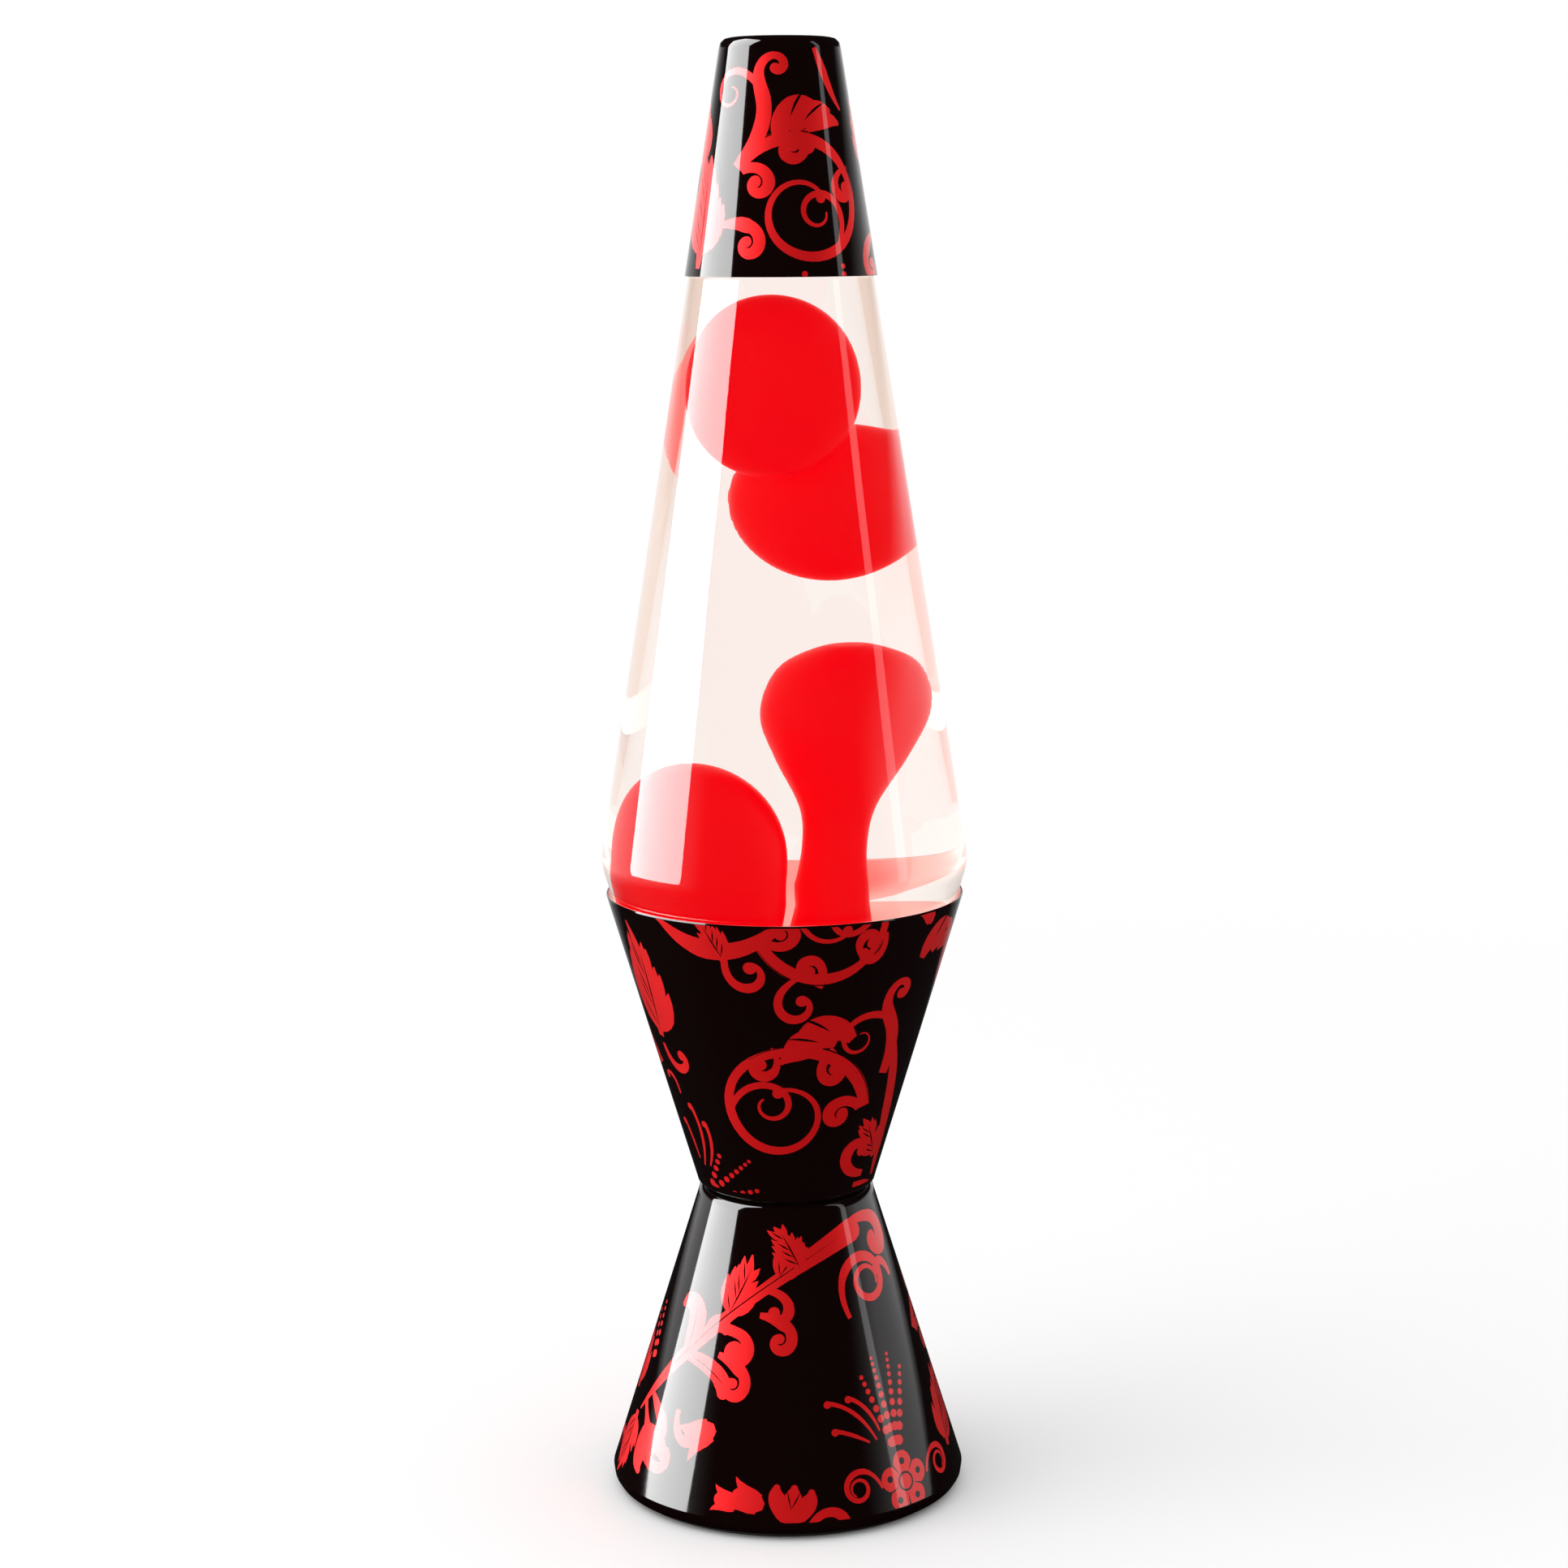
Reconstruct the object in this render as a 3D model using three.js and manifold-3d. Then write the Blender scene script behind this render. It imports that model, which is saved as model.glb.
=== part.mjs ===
// A lava lamp: an hourglass base of two spun cones, a tapered glass bottle filled with liquid and wax that
// stands in the upper cone, and a spun cap over the bottle's neck. A small incandescent bulb under the
// bottle lights and warms it. Millimetres, +Z up, origin at the centre of the underside.

import * as THREE from "three";
import { mergeVertices } from "three/addons/utils/BufferGeometryUtils.js";
import Module from "manifold-3d";

// ---------------------------------------------------------------- driving dimensions

const TOTAL_HEIGHT = 368.3;
const GAP = 0.3; // clearance between pieces that touch on the real lamp
const SHELL_WALL = 0.8; // spun aluminium of the two cones
const GLASS_WALL = 2.2;
const SHELL_FACETS = 36; // round the big shells
const FITTING_FACETS = 16; // round the small fittings

// Outlines of the big pieces are straight tapers: a radius at one height, and its change per unit of height.
const CAP_TAPER = { z: 311, r: 23.8, slope: -0.162 };
const BOTTLE_TAPER = { z: 166, r: 46.37, slope: -0.162 };
const CUP_TAPER = { z: 82, r: 22.96, slope: 0.3018 };
const FOOT_TAPER = { z: 78, r: 22.59, slope: -0.3129 };

const CAP_WALL = 0.6;
const CAP_BOTTOM = 311;
const CUP_RIM = 156.6;
const WAIST = 80; // the seam between the two cones
const WAIST_HOLE = 20; // radius of the hole through both cones at the waist
const FOOT_EDGE = 1.6; // lowest edge of the lower cone

const BOTTLE_BOTTOM = 112;
const BOTTLE_FLOOR = 3.5; // glass thickness at the bottom
const SHOULDER = 333; // top of the bottle's taper
const NECK_RADIUS = 12.2;
const BORE_RADIUS = 8.2;
const LIP_TOP = 350.4;
const LIQUID_TOP = 330;

const WAX_LEVEL = 133; // top of the molten pool
const COIL_RING = 21; // radius of the heating coil's ring
const COIL_THICKNESS = 2.4; // half the diameter of the coil itself

const BULB_TOP = 98.5;
const BULB_RADIUS = 17.3;
const BULB_FOOT = 40.5; // tip of the bulb's centre contact
const BULB_BASE_RADIUS = 8.2; // intermediate screw base
const INLET_HEIGHT = 16; // centre of the cord inlet, at the rear

// ---------------------------------------------------------------- shape helpers

const taperRadius = (taper, z) => taper.r + taper.slope * (z - taper.z);
const taperWall = (taper, thickness) => thickness * Math.hypot(1, taper.slope);
const point = (r, z) => new THREE.Vector2(r, z);
const onTaper = (taper, z, inset = 0) => point(taperRadius(taper, z) - inset, z);

// Points along an arc of a profile, from one angle to another; 0 degrees points outwards and 90 up.
function arc(r, z, radius, fromDegrees, toDegrees, steps) {
  return Array.from({ length: steps + 1 }, (_, i) => {
    const angle = THREE.MathUtils.degToRad(fromDegrees + ((toDegrees - fromDegrees) * i) / steps);
    return point(r + radius * Math.cos(angle), z + radius * Math.sin(angle));
  });
}

// Turns a profile about the lamp's axis. Its outside runs upwards, and it starts and ends on the axis.
function spin(profile, facets = FITTING_FACETS) {
  return new THREE.LatheGeometry(profile, facets).rotateX(Math.PI / 2);
}

// A ring: the profile is a loop that stays off the axis.
const spinLoop = (profile, facets) => spin([...profile, profile[0]], facets);

const tube = (inner, outer, bottom, top, facets) =>
  spinLoop([point(inner, bottom), point(outer, bottom), point(outer, top), point(inner, top)], facets);

// An egg, with its own half heights above and below its widest level.
function egg({ centre, halfWidth, halfDepth, up, down }, grow = 0) {
  const shape = new THREE.SphereGeometry(1, 20, 12).rotateX(Math.PI / 2);
  const vertices = shape.attributes.position;
  for (let i = 0; i < vertices.count; i += 1) {
    const rise = vertices.getZ(i);
    vertices.setXYZ(
      i,
      centre[0] + vertices.getX(i) * (halfWidth + grow),
      centre[1] + vertices.getY(i) * (halfDepth + grow),
      centre[2] + rise * ((rise > 0 ? up : down) + grow),
    );
  }
  return shape;
}

// A flat outline pulled straight up between two heights.
function prism(outline, bottom, top) {
  return new THREE.ExtrudeGeometry(outline, { depth: top - bottom, bevelEnabled: false, steps: 1 }).translate(0, 0, bottom);
}

function circleOutline(radius, sides, Kind = THREE.Shape) {
  const corners = Array.from({ length: sides }, (_, i) => {
    const angle = (2 * Math.PI * i) / sides;
    return point(radius * Math.cos(angle), radius * Math.sin(angle));
  });
  return new Kind(corners);
}

function hexNut(acrossFlats, hole, bottom, top) {
  const outline = circleOutline(acrossFlats / Math.sqrt(3), 6);
  outline.holes.push(circleOutline(hole, FITTING_FACETS, THREE.Path));
  return prism(outline, bottom, top);
}

// A round wire that follows a smooth curve through some points.
function wire(points, radius, steps) {
  const path = new THREE.CatmullRomCurve3(points.map((p) => new THREE.Vector3(...p)));
  return new THREE.ExtrudeGeometry(circleOutline(radius, 6), { extrudePath: path, steps, bevelEnabled: false });
}

// ---------------------------------------------------------------- joining and cutting

const wasm = await Module();
wasm.setup();

function toSolid(geometry) {
  const bare = geometry.clone();
  bare.deleteAttribute("normal");
  bare.deleteAttribute("uv");
  const merged = mergeVertices(bare, 1e-4);
  const corners = [];
  for (let i = 0; i < merged.index.count; i += 3) {
    const [a, b, c] = [0, 1, 2].map((k) => merged.index.getX(i + k));
    if (a !== b && b !== c && c !== a) corners.push(a, b, c);
  }
  const vertProperties = new Float32Array(merged.attributes.position.array);
  return new wasm.Manifold(new wasm.Mesh({ numProp: 3, vertProperties, triVerts: new Uint32Array(corners) }));
}

function toGeometry(solid) {
  const mesh = solid.getMesh();
  const geometry = new THREE.BufferGeometry();
  geometry.setAttribute("position", new THREE.BufferAttribute(new Float32Array(mesh.vertProperties), 3));
  geometry.setIndex(new THREE.BufferAttribute(new Uint32Array(mesh.triVerts), 1));
  geometry.computeVertexNormals();
  return geometry;
}

const join = (...shapes) => toGeometry(shapes.map(toSolid).reduce((whole, shape) => whole.add(shape)));
const cut = (body, ...tools) => toGeometry(tools.map(toSolid).reduce((rest, tool) => rest.subtract(tool), toSolid(body)));

// ---------------------------------------------------------------- the lamp and its finishes

const lamp = new THREE.Group();

const finish = (color, roughness, metalness, opacity = 1) =>
  new THREE.MeshStandardMaterial({ color, roughness, metalness, opacity, transparent: opacity < 1 });

const LACQUER = finish(0x8c0a0c, 0.15, 0.3);
const GLASS = finish(0xf4f6f5, 0.02, 0, 0.3);
const LIQUID = finish(0xfbeee6, 0.02, 0, 0.3);
const WAX = finish(0xe8000c, 0.4, 0);
const STEEL = finish(0xb6b9bc, 0.35, 1);
const BRASS = finish(0xc9a24a, 0.35, 1);
const ALUMINIUM = finish(0xc4c6c8, 0.4, 1);
const BLACK_PLASTIC = finish(0x101010, 0.5, 0);
const RUBBER = finish(0x141414, 0.8, 0);
const PORCELAIN = finish(0xe9e4d8, 0.35, 0);
const LINER = finish(0xd8d4c8, 0.7, 0);

function add(name, geometry, material) {
  const piece = new THREE.Mesh(geometry, material);
  piece.name = name;
  lamp.add(piece);
}

// ---------------------------------------------------------------- cap

const CAP_CORNER = 2.5;

function topCap() {
  const top = TOTAL_HEIGHT;
  const cornerR = taperRadius(CAP_TAPER, top - CAP_CORNER) - CAP_CORNER;
  const wall = taperWall(CAP_TAPER, CAP_WALL);
  return spin(
    [
      point(0, top - CAP_WALL),
      ...arc(cornerR, top - CAP_CORNER, CAP_CORNER - CAP_WALL, 90, 0, 3),
      onTaper(CAP_TAPER, CAP_BOTTOM, wall),
      onTaper(CAP_TAPER, CAP_BOTTOM),
      ...arc(cornerR, top - CAP_CORNER, CAP_CORNER, 0, 90, 3),
      point(0, top),
    ],
    SHELL_FACETS,
  );
}

add("top_cap", topCap(), LACQUER);

// ---------------------------------------------------------------- bottle and its closure

const cupInner = (z) => taperRadius(CUP_TAPER, z) - taperWall(CUP_TAPER, SHELL_WALL);
const SEAT_CLEARANCE = 0.45; // between the bottle's lower end and the cup
const BELLY = 12; // rounding radius of the bottle's widest part
const HEEL = 5; // rounding radius of the bottle's bottom corner
const PUNT = 1.5; // how far the middle of the bottom is raised
const LOWER_TAPER = { z: CUP_RIM, r: cupInner(CUP_RIM) - SEAT_CLEARANCE, slope: CUP_TAPER.slope };
const BELLY_Z =
  (BOTTLE_TAPER.r - BOTTLE_TAPER.slope * BOTTLE_TAPER.z - LOWER_TAPER.r + LOWER_TAPER.slope * LOWER_TAPER.z) /
  (LOWER_TAPER.slope - BOTTLE_TAPER.slope);
const TILT_UP = THREE.MathUtils.radToDeg(Math.atan(BOTTLE_TAPER.slope));
const TILT_DOWN = THREE.MathUtils.radToDeg(Math.atan(LOWER_TAPER.slope));

// The rounded belly where the two tapers meet, inset from the outside.
function belly(inset) {
  const half = THREE.MathUtils.degToRad((TILT_DOWN - TILT_UP) / 2);
  const middle = THREE.MathUtils.degToRad(-(TILT_UP + TILT_DOWN) / 2);
  const reach = BELLY / Math.cos(half);
  const r = taperRadius(BOTTLE_TAPER, BELLY_Z) - reach * Math.cos(middle);
  const z = BELLY_Z - reach * Math.sin(middle);
  return arc(r, z, BELLY - inset, -TILT_DOWN, -TILT_UP, 4);
}

// The heel where the lower taper turns into the bottom.
function heel() {
  const tilt = THREE.MathUtils.degToRad(TILT_DOWN);
  const z = BOTTLE_BOTTOM + HEEL;
  const r = taperRadius(LOWER_TAPER, z) - HEEL / Math.cos(tilt);
  return arc(r, z, HEEL, -90, -TILT_DOWN, 4);
}

// The radius inside the lower taper, at a distance from its outside.
const insideRadius = (z, inset) => taperRadius(LOWER_TAPER, z) - taperWall(LOWER_TAPER, inset);
const INNER_HEEL = 2.5; // bevel of the bottle's inside bottom corner

const NECK_START = SHOULDER + 7;

function bottleGlass() {
  const wall = taperWall(BOTTLE_TAPER, GLASS_WALL);
  const floor = BOTTLE_BOTTOM + BOTTLE_FLOOR;
  return spin(
    [
      point(0, BOTTLE_BOTTOM + PUNT),
      point(BOTTLE_BOTTOM / 6, BOTTLE_BOTTOM + PUNT / 3),
      ...heel(),
      ...belly(0),
      onTaper(BOTTLE_TAPER, SHOULDER),
      point(NECK_RADIUS + 4, SHOULDER + 4.5),
      point(NECK_RADIUS, NECK_START),
      point(NECK_RADIUS, LIP_TOP - 5),
      point(NECK_RADIUS + 0.8, LIP_TOP - 4),
      point(NECK_RADIUS + 0.8, LIP_TOP - 1),
      point(NECK_RADIUS - 0.4, LIP_TOP),
      point(BORE_RADIUS + 0.5, LIP_TOP),
      point(BORE_RADIUS, LIP_TOP - 0.6),
      point(BORE_RADIUS, NECK_START),
      point(BORE_RADIUS + 4.5, SHOULDER + 2.6),
      onTaper(BOTTLE_TAPER, SHOULDER - 1.5, wall),
      ...belly(GLASS_WALL).reverse(),
      point(insideRadius(floor + INNER_HEEL, GLASS_WALL), floor + INNER_HEEL),
      point(insideRadius(floor, GLASS_WALL) - INNER_HEEL, floor),
      point(0, floor),
    ],
    SHELL_FACETS,
  );
}

const CLOSURE_RADIUS = 13.75;
const CLOSURE_TOP = LIP_TOP + 1.7;
const CLOSURE_SHEET = 0.3;
const FLUTES = 21; // a crown closure has 21 crimped flutes
const FLUTE_DEPTH = 0.3;

function crownClosure() {
  const skirt = LIP_TOP - 5;
  const shape = spin(
    [
      point(0, CLOSURE_TOP - CLOSURE_SHEET),
      point(CLOSURE_RADIUS - 2, CLOSURE_TOP - CLOSURE_SHEET),
      point(CLOSURE_RADIUS - CLOSURE_SHEET, CLOSURE_TOP - 2),
      point(CLOSURE_RADIUS + 0.3, skirt),
      point(CLOSURE_RADIUS + 0.3 + CLOSURE_SHEET, skirt),
      point(CLOSURE_RADIUS, CLOSURE_TOP - 2),
      point(CLOSURE_RADIUS - 1.7, CLOSURE_TOP),
      point(0, CLOSURE_TOP),
    ],
    2 * FLUTES,
  );
  const vertices = shape.attributes.position;
  for (let i = 0; i < vertices.count; i += 1) {
    if (vertices.getZ(i) < skirt + 1) {
      const turn = Math.atan2(vertices.getY(i), vertices.getX(i));
      const scale = 1 + (FLUTE_DEPTH / CLOSURE_RADIUS) * Math.sign(Math.cos(FLUTES * (turn + Math.PI / 2)));
      vertices.setXY(i, vertices.getX(i) * scale, vertices.getY(i) * scale);
    }
  }
  return shape;
}

const crownLiner = () => {
  const bottom = LIP_TOP + GAP;
  const top = CLOSURE_TOP - CLOSURE_SHEET - GAP;
  return spin([point(0, bottom), point(11, bottom), point(11, top), point(0, top)]);
};

add("globe_glass", bottleGlass(), GLASS);
add("crown_closure", crownClosure(), STEEL);
add("crown_liner", crownLiner(), LINER);

// ---------------------------------------------------------------- wax, liquid and heating coil

// Wax that floats free.
const UPPER_BLOB = { centre: [-2.2, -7.2, 282.4], halfWidth: 18.3, halfDepth: 14.4, up: 22.3, down: 22.3 };
const LOWER_BLOB = { centre: [8, 11, 251.6], halfWidth: 16.8, halfDepth: 14, up: 19, down: 19.5 };
// A mound that swells out of the molten pool, and a column that rises beside it.
const MOUND = { centre: [-17.6, -5, 166], halfWidth: 18.2, halfDepth: 18.6, up: 23.4, down: 38 };
const COLUMN_OUTLINE = [
  [13, WAX_LEVEL - 4],
  [8.6, 146],
  [6.9, 156],
  [5.9, 167],
  [6.9, 177],
  [11.9, 189],
  [15.1, 200],
  [12.4, 211],
  [5.5, 216.3],
  [0, 217.3],
];
const COLUMN_FOOT = { x: 7.6, y: 4 };
const COLUMN_HEAD = { x: 11.2, y: 6 };

// The column leans a little, so each level is set off the axis by its own amount.
function column(grow = 0) {
  const side = new THREE.SplineCurve(COLUMN_OUTLINE.map(([r, z]) => point(r, z))).getPoints(16);
  const last = side.length - 1;
  const profile = side.map((p, i) => point(i === last ? 0 : Math.max(p.x, 0.1) + grow, p.y + (i > last - 3 ? grow : 0)));
  const shape = spin([point(0, profile[0].y), ...profile], 20);
  const vertices = shape.attributes.position;
  const [foot, head] = [WAX_LEVEL, COLUMN_OUTLINE.at(-1)[1]];
  for (let i = 0; i < vertices.count; i += 1) {
    const part = THREE.MathUtils.smoothstep(vertices.getZ(i), foot, head);
    vertices.setX(i, vertices.getX(i) + THREE.MathUtils.lerp(COLUMN_FOOT.x, COLUMN_HEAD.x, part));
    vertices.setY(i, vertices.getY(i) + THREE.MathUtils.lerp(COLUMN_FOOT.y, COLUMN_HEAD.y, part));
  }
  return shape;
}

const FLOOR = BOTTLE_BOTTOM + BOTTLE_FLOOR + GAP;
const INSIDE = GLASS_WALL + GAP;

function waxPool() {
  const pool = spin(
    [
      point(0, FLOOR),
      point(insideRadius(FLOOR, INSIDE) - INNER_HEEL, FLOOR),
      point(insideRadius(FLOOR + INNER_HEEL, INSIDE), FLOOR + INNER_HEEL),
      point(insideRadius(WAX_LEVEL, INSIDE), WAX_LEVEL),
      point(0, WAX_LEVEL),
    ],
    SHELL_FACETS,
  );
  const room = COIL_THICKNESS + GAP;
  const coilRoom = tube(COIL_RING - room, COIL_RING + room, FLOOR - 1, FLOOR + 2 * room, SHELL_FACETS);
  return cut(join(pool, egg(MOUND), column()), coilRoom);
}

const heatingCoil = () =>
  spinLoop(arc(COIL_RING, FLOOR + COIL_THICKNESS, COIL_THICKNESS, -90, 225, 7), SHELL_FACETS);

// The liquid fills the bottle round the wax. A thin vent joins each blob's hollow to the liquid's top.
function liquid() {
  const body = spin(
    [
      point(0, WAX_LEVEL + GAP),
      point(insideRadius(WAX_LEVEL + GAP, INSIDE), WAX_LEVEL + GAP),
      ...belly(INSIDE),
      onTaper(BOTTLE_TAPER, LIQUID_TOP, taperWall(BOTTLE_TAPER, INSIDE)),
      point(0, LIQUID_TOP),
    ],
    SHELL_FACETS,
  );
  const vent = (blob) => {
    const [x, y, z] = blob.centre;
    return new THREE.CylinderGeometry(0.8, 0.8, LIQUID_TOP + 2 - z, 8).rotateX(Math.PI / 2).translate(x, y, (LIQUID_TOP + 2 + z) / 2);
  };
  const wax = [MOUND, UPPER_BLOB, LOWER_BLOB].map((blob) => egg(blob, GAP));
  return cut(body, column(GAP), ...wax, vent(UPPER_BLOB), vent(LOWER_BLOB));
}

add("liquid", liquid(), LIQUID);
add("wax_pool", waxPool(), WAX);
add("wax_blob_upper", egg(UPPER_BLOB), WAX);
add("wax_blob_lower", egg(LOWER_BLOB), WAX);
add("heating_coil", heatingCoil(), STEEL);

// ---------------------------------------------------------------- upper and lower cones

const CORNER = 2.2; // rounding at the waist, on each cone
const SEAM = 0.2; // half the width of the seam
const LIP = SHELL_WALL / 2; // rounding of the cup's rim

function upperCone() {
  const bottom = WAIST + SEAM;
  const cornerZ = bottom + CORNER;
  const cornerR = taperRadius(CUP_TAPER, cornerZ) - CORNER;
  const wall = taperWall(CUP_TAPER, SHELL_WALL);
  const rimR = taperRadius(CUP_TAPER, CUP_RIM - LIP) - wall / 2;
  return spinLoop(
    [
      point(WAIST_HOLE, bottom),
      ...arc(cornerR, cornerZ, CORNER, -90, 0, 3),
      ...arc(rimR, CUP_RIM - LIP, LIP, 0, 180, 3),
      ...arc(cornerR, cornerZ, CORNER - SHELL_WALL, 0, -90, 3),
      point(WAIST_HOLE, bottom + SHELL_WALL),
    ],
    SHELL_FACETS,
  );
}

const INLET_RADIUS = 4.6;

function lowerCone() {
  const top = WAIST - SEAM;
  const cornerZ = top - CORNER;
  const cornerR = taperRadius(FOOT_TAPER, cornerZ) - CORNER;
  const wall = taperWall(FOOT_TAPER, SHELL_WALL);
  const skirt = spinLoop(
    [
      point(43.3, FOOT_EDGE),
      point(44.5, FOOT_EDGE),
      point(45.2, FOOT_EDGE + 1.1),
      onTaper(FOOT_TAPER, FOOT_EDGE + 3.2),
      ...arc(cornerR, cornerZ, CORNER, 0, 90, 3),
      point(WAIST_HOLE, top),
      point(WAIST_HOLE, top - SHELL_WALL),
      ...arc(cornerR, cornerZ, CORNER - SHELL_WALL, 90, 0, 3),
      onTaper(FOOT_TAPER, FOOT_EDGE + 3.4, wall),
      point(43.9, FOOT_EDGE + 1.2),
    ],
    SHELL_FACETS,
  );
  const inlet = new THREE.CylinderGeometry(INLET_RADIUS, INLET_RADIUS, 20, FITTING_FACETS).translate(0, 43, INLET_HEIGHT);
  return cut(skirt, inlet);
}

add("upper_cone", upperCone(), LACQUER);
add("lower_cone", lowerCone(), LACQUER);

// A flanged tube passes down through both cones, and a ring nut under them clamps the seam.
const COLLAR_INNER = 18.7;
const COLLAR_OUTER = WAIST_HOLE - GAP;
const COLLAR_BOTTOM = 73;

function waistCollar() {
  const flange = WAIST + SEAM + SHELL_WALL + GAP;
  return spinLoop(
    [
      point(COLLAR_INNER, COLLAR_BOTTOM),
      point(COLLAR_OUTER, COLLAR_BOTTOM),
      point(COLLAR_OUTER, flange),
      point(COLLAR_OUTER + 1.2, flange),
      point(COLLAR_OUTER + 1.2, flange + 0.8),
      point(COLLAR_INNER, flange + 0.8),
    ],
    SHELL_FACETS,
  );
}

const NUT_TOP = WAIST - SEAM - SHELL_WALL - GAP - 1;
const waistNut = () => tube(WAIST_HOLE, WAIST_HOLE + 1.5, NUT_TOP - 2.8, NUT_TOP, SHELL_FACETS);

add("waist_collar", waistCollar(), BRASS);
add("waist_nut", waistNut(), BRASS);

// ---------------------------------------------------------------- base plate, foot ring and cord inlet

const PLATE_RADIUS = 42.9;
const PIPE_RADIUS = 4.8;
const PIPE_BORE = 3.5;
const PLATE_CENTRE = 5; // underside of the plate's raised middle
const PLATE_THICKNESS = 1.6;

function basePlate() {
  const [under, thick] = [1.5, PLATE_THICKNESS];
  return spinLoop(
    [
      point(PIPE_RADIUS + GAP, PLATE_CENTRE),
      point(13, PLATE_CENTRE),
      point(17, under),
      point(PLATE_RADIUS, under),
      point(PLATE_RADIUS, under + 1.6),
      point(PLATE_RADIUS - 1.2, under + thick),
      point(PLATE_RADIUS - 1.2, under + 6),
      point(PLATE_RADIUS - 2.6, under + 6),
      point(PLATE_RADIUS - 2.6, under + thick),
      point(17.6, under + thick),
      point(13.6, PLATE_CENTRE + thick),
      point(PIPE_RADIUS + GAP, PLATE_CENTRE + thick),
    ],
    SHELL_FACETS,
  );
}

const footRing = () => tube(37.5, 42.4, 0, 1.2, SHELL_FACETS);

// A soft grommet lines the inlet: a flange outside, a neck through the wall and a flange inside.
function cordGrommet() {
  const [bore, neck, flange] = [3.2, INLET_RADIUS - GAP, 6.2];
  const shape = spinLoop([
    point(bore, -3.2),
    point(flange, -3.2),
    point(flange, -1.7),
    point(neck, -1.7),
    point(neck, 1.3),
    point(flange, 1.3),
    point(flange - 0.8, 2.8),
    point(bore, 2.8),
  ]);
  const wallMiddle = taperRadius(FOOT_TAPER, INLET_HEIGHT) - SHELL_WALL / 2;
  const lean = Math.atan(-FOOT_TAPER.slope);
  return shape.rotateX(-Math.PI / 2 + lean).translate(0, wallMiddle, INLET_HEIGHT);
}

add("base_plate", basePlate(), BLACK_PLASTIC);
add("foot_ring", footRing(), RUBBER);
add("cord_grommet", cordGrommet(), RUBBER);

// ---------------------------------------------------------------- lamp holder on its stem

const HOLDER_BOTTOM = 30;
const HOLDER_TOP = 60;
const HOLDER_RADIUS = 13;
const HOLDER_FLOOR = 37; // inside, under the centre contact
const SHELL_BORE = BULB_BASE_RADIUS + 0.35;
const NUT_FLATS = 14;

function socketBody() {
  const body = spin([
    point(0, HOLDER_BOTTOM + 5),
    point(PIPE_RADIUS + GAP, HOLDER_BOTTOM + 5),
    point(PIPE_RADIUS + GAP, HOLDER_BOTTOM),
    point(9, HOLDER_BOTTOM),
    point(HOLDER_RADIUS, HOLDER_BOTTOM + 5),
    point(HOLDER_RADIUS, HOLDER_TOP - 1.2),
    point(HOLDER_RADIUS - 1.2, HOLDER_TOP),
    point(SHELL_BORE + 0.75, HOLDER_TOP),
    point(SHELL_BORE + 0.75, HOLDER_FLOOR),
    point(0, HOLDER_FLOOR),
  ]);
  const pocket = (side) => new THREE.BoxGeometry(4, 8, 8).translate(side * (HOLDER_RADIUS + 0.4), 0, HOLDER_BOTTOM + 10);
  return cut(body, pocket(-1), pocket(1));
}

const socketShell = () => tube(SHELL_BORE, SHELL_BORE + 0.45, 43, HOLDER_TOP - 1, FITTING_FACETS);

// A springy strip: flat on the holder's floor, then folded back up to meet the bulb's contact.
function socketContact() {
  const bottom = HOLDER_FLOOR + GAP;
  const sheet = 0.4;
  const top = BULB_FOOT - GAP;
  const outline = new THREE.Shape([
    point(-6, bottom),
    point(6, bottom),
    point(6.4, bottom + 1.2),
    point(2.5, top),
    point(-2.5, top),
    point(-2.5, top - sheet),
    point(2.3, top - sheet),
    point(5.6, bottom + 1.1),
    point(5.4, bottom + sheet),
    point(-6, bottom + sheet),
  ]);
  return new THREE.ExtrudeGeometry(outline, { depth: 5, bevelEnabled: false }).translate(0, 0, -2.5).rotateX(Math.PI / 2);
}

function terminalScrew(side) {
  const head = spin([point(0, 0), point(2.6, 0), point(2.6, 1.2), point(1.9, 1.8), point(0, 1.8)], 12);
  return head.rotateY((side * Math.PI) / 2).translate(side * (HOLDER_RADIUS - 1.6 + GAP), 0, HOLDER_BOTTOM + 10);
}

const PLATE_TOP = PLATE_CENTRE + PLATE_THICKNESS;
const stemPipe = () => tube(PIPE_BORE, PIPE_RADIUS, 1.3, HOLDER_BOTTOM + 5 - GAP, FITTING_FACETS);
const stemNut = (bottom, height) => hexNut(NUT_FLATS, PIPE_RADIUS + GAP, bottom, bottom + height);

add("socket_body", socketBody(), PORCELAIN);
add("socket_shell", socketShell(), BRASS);
add("socket_contact", socketContact(), BRASS);
add("terminal_screw_left", terminalScrew(-1), BRASS);
add("terminal_screw_right", terminalScrew(1), STEEL);
add("stem_pipe", stemPipe(), STEEL);
add("stem_washer", tube(PIPE_RADIUS + GAP, 9.5, PLATE_TOP + GAP, PLATE_TOP + GAP + 0.8, FITTING_FACETS), STEEL);
add("stem_nut_upper", stemNut(PLATE_TOP + 2 * GAP + 0.8, 3), STEEL);
add("stem_nut_lower", stemNut(PLATE_CENTRE - GAP - 2.9, 2.9), STEEL);
add("socket_lock_nut", stemNut(HOLDER_BOTTOM - GAP - 3, 3), STEEL);

// ---------------------------------------------------------------- bulb

const BULB_WALL = 0.7;
const BULB_NECK = 7.2;
const BULB_WIDEST = BULB_TOP - BULB_RADIUS;
const BASE_TOP = 57;

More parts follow.
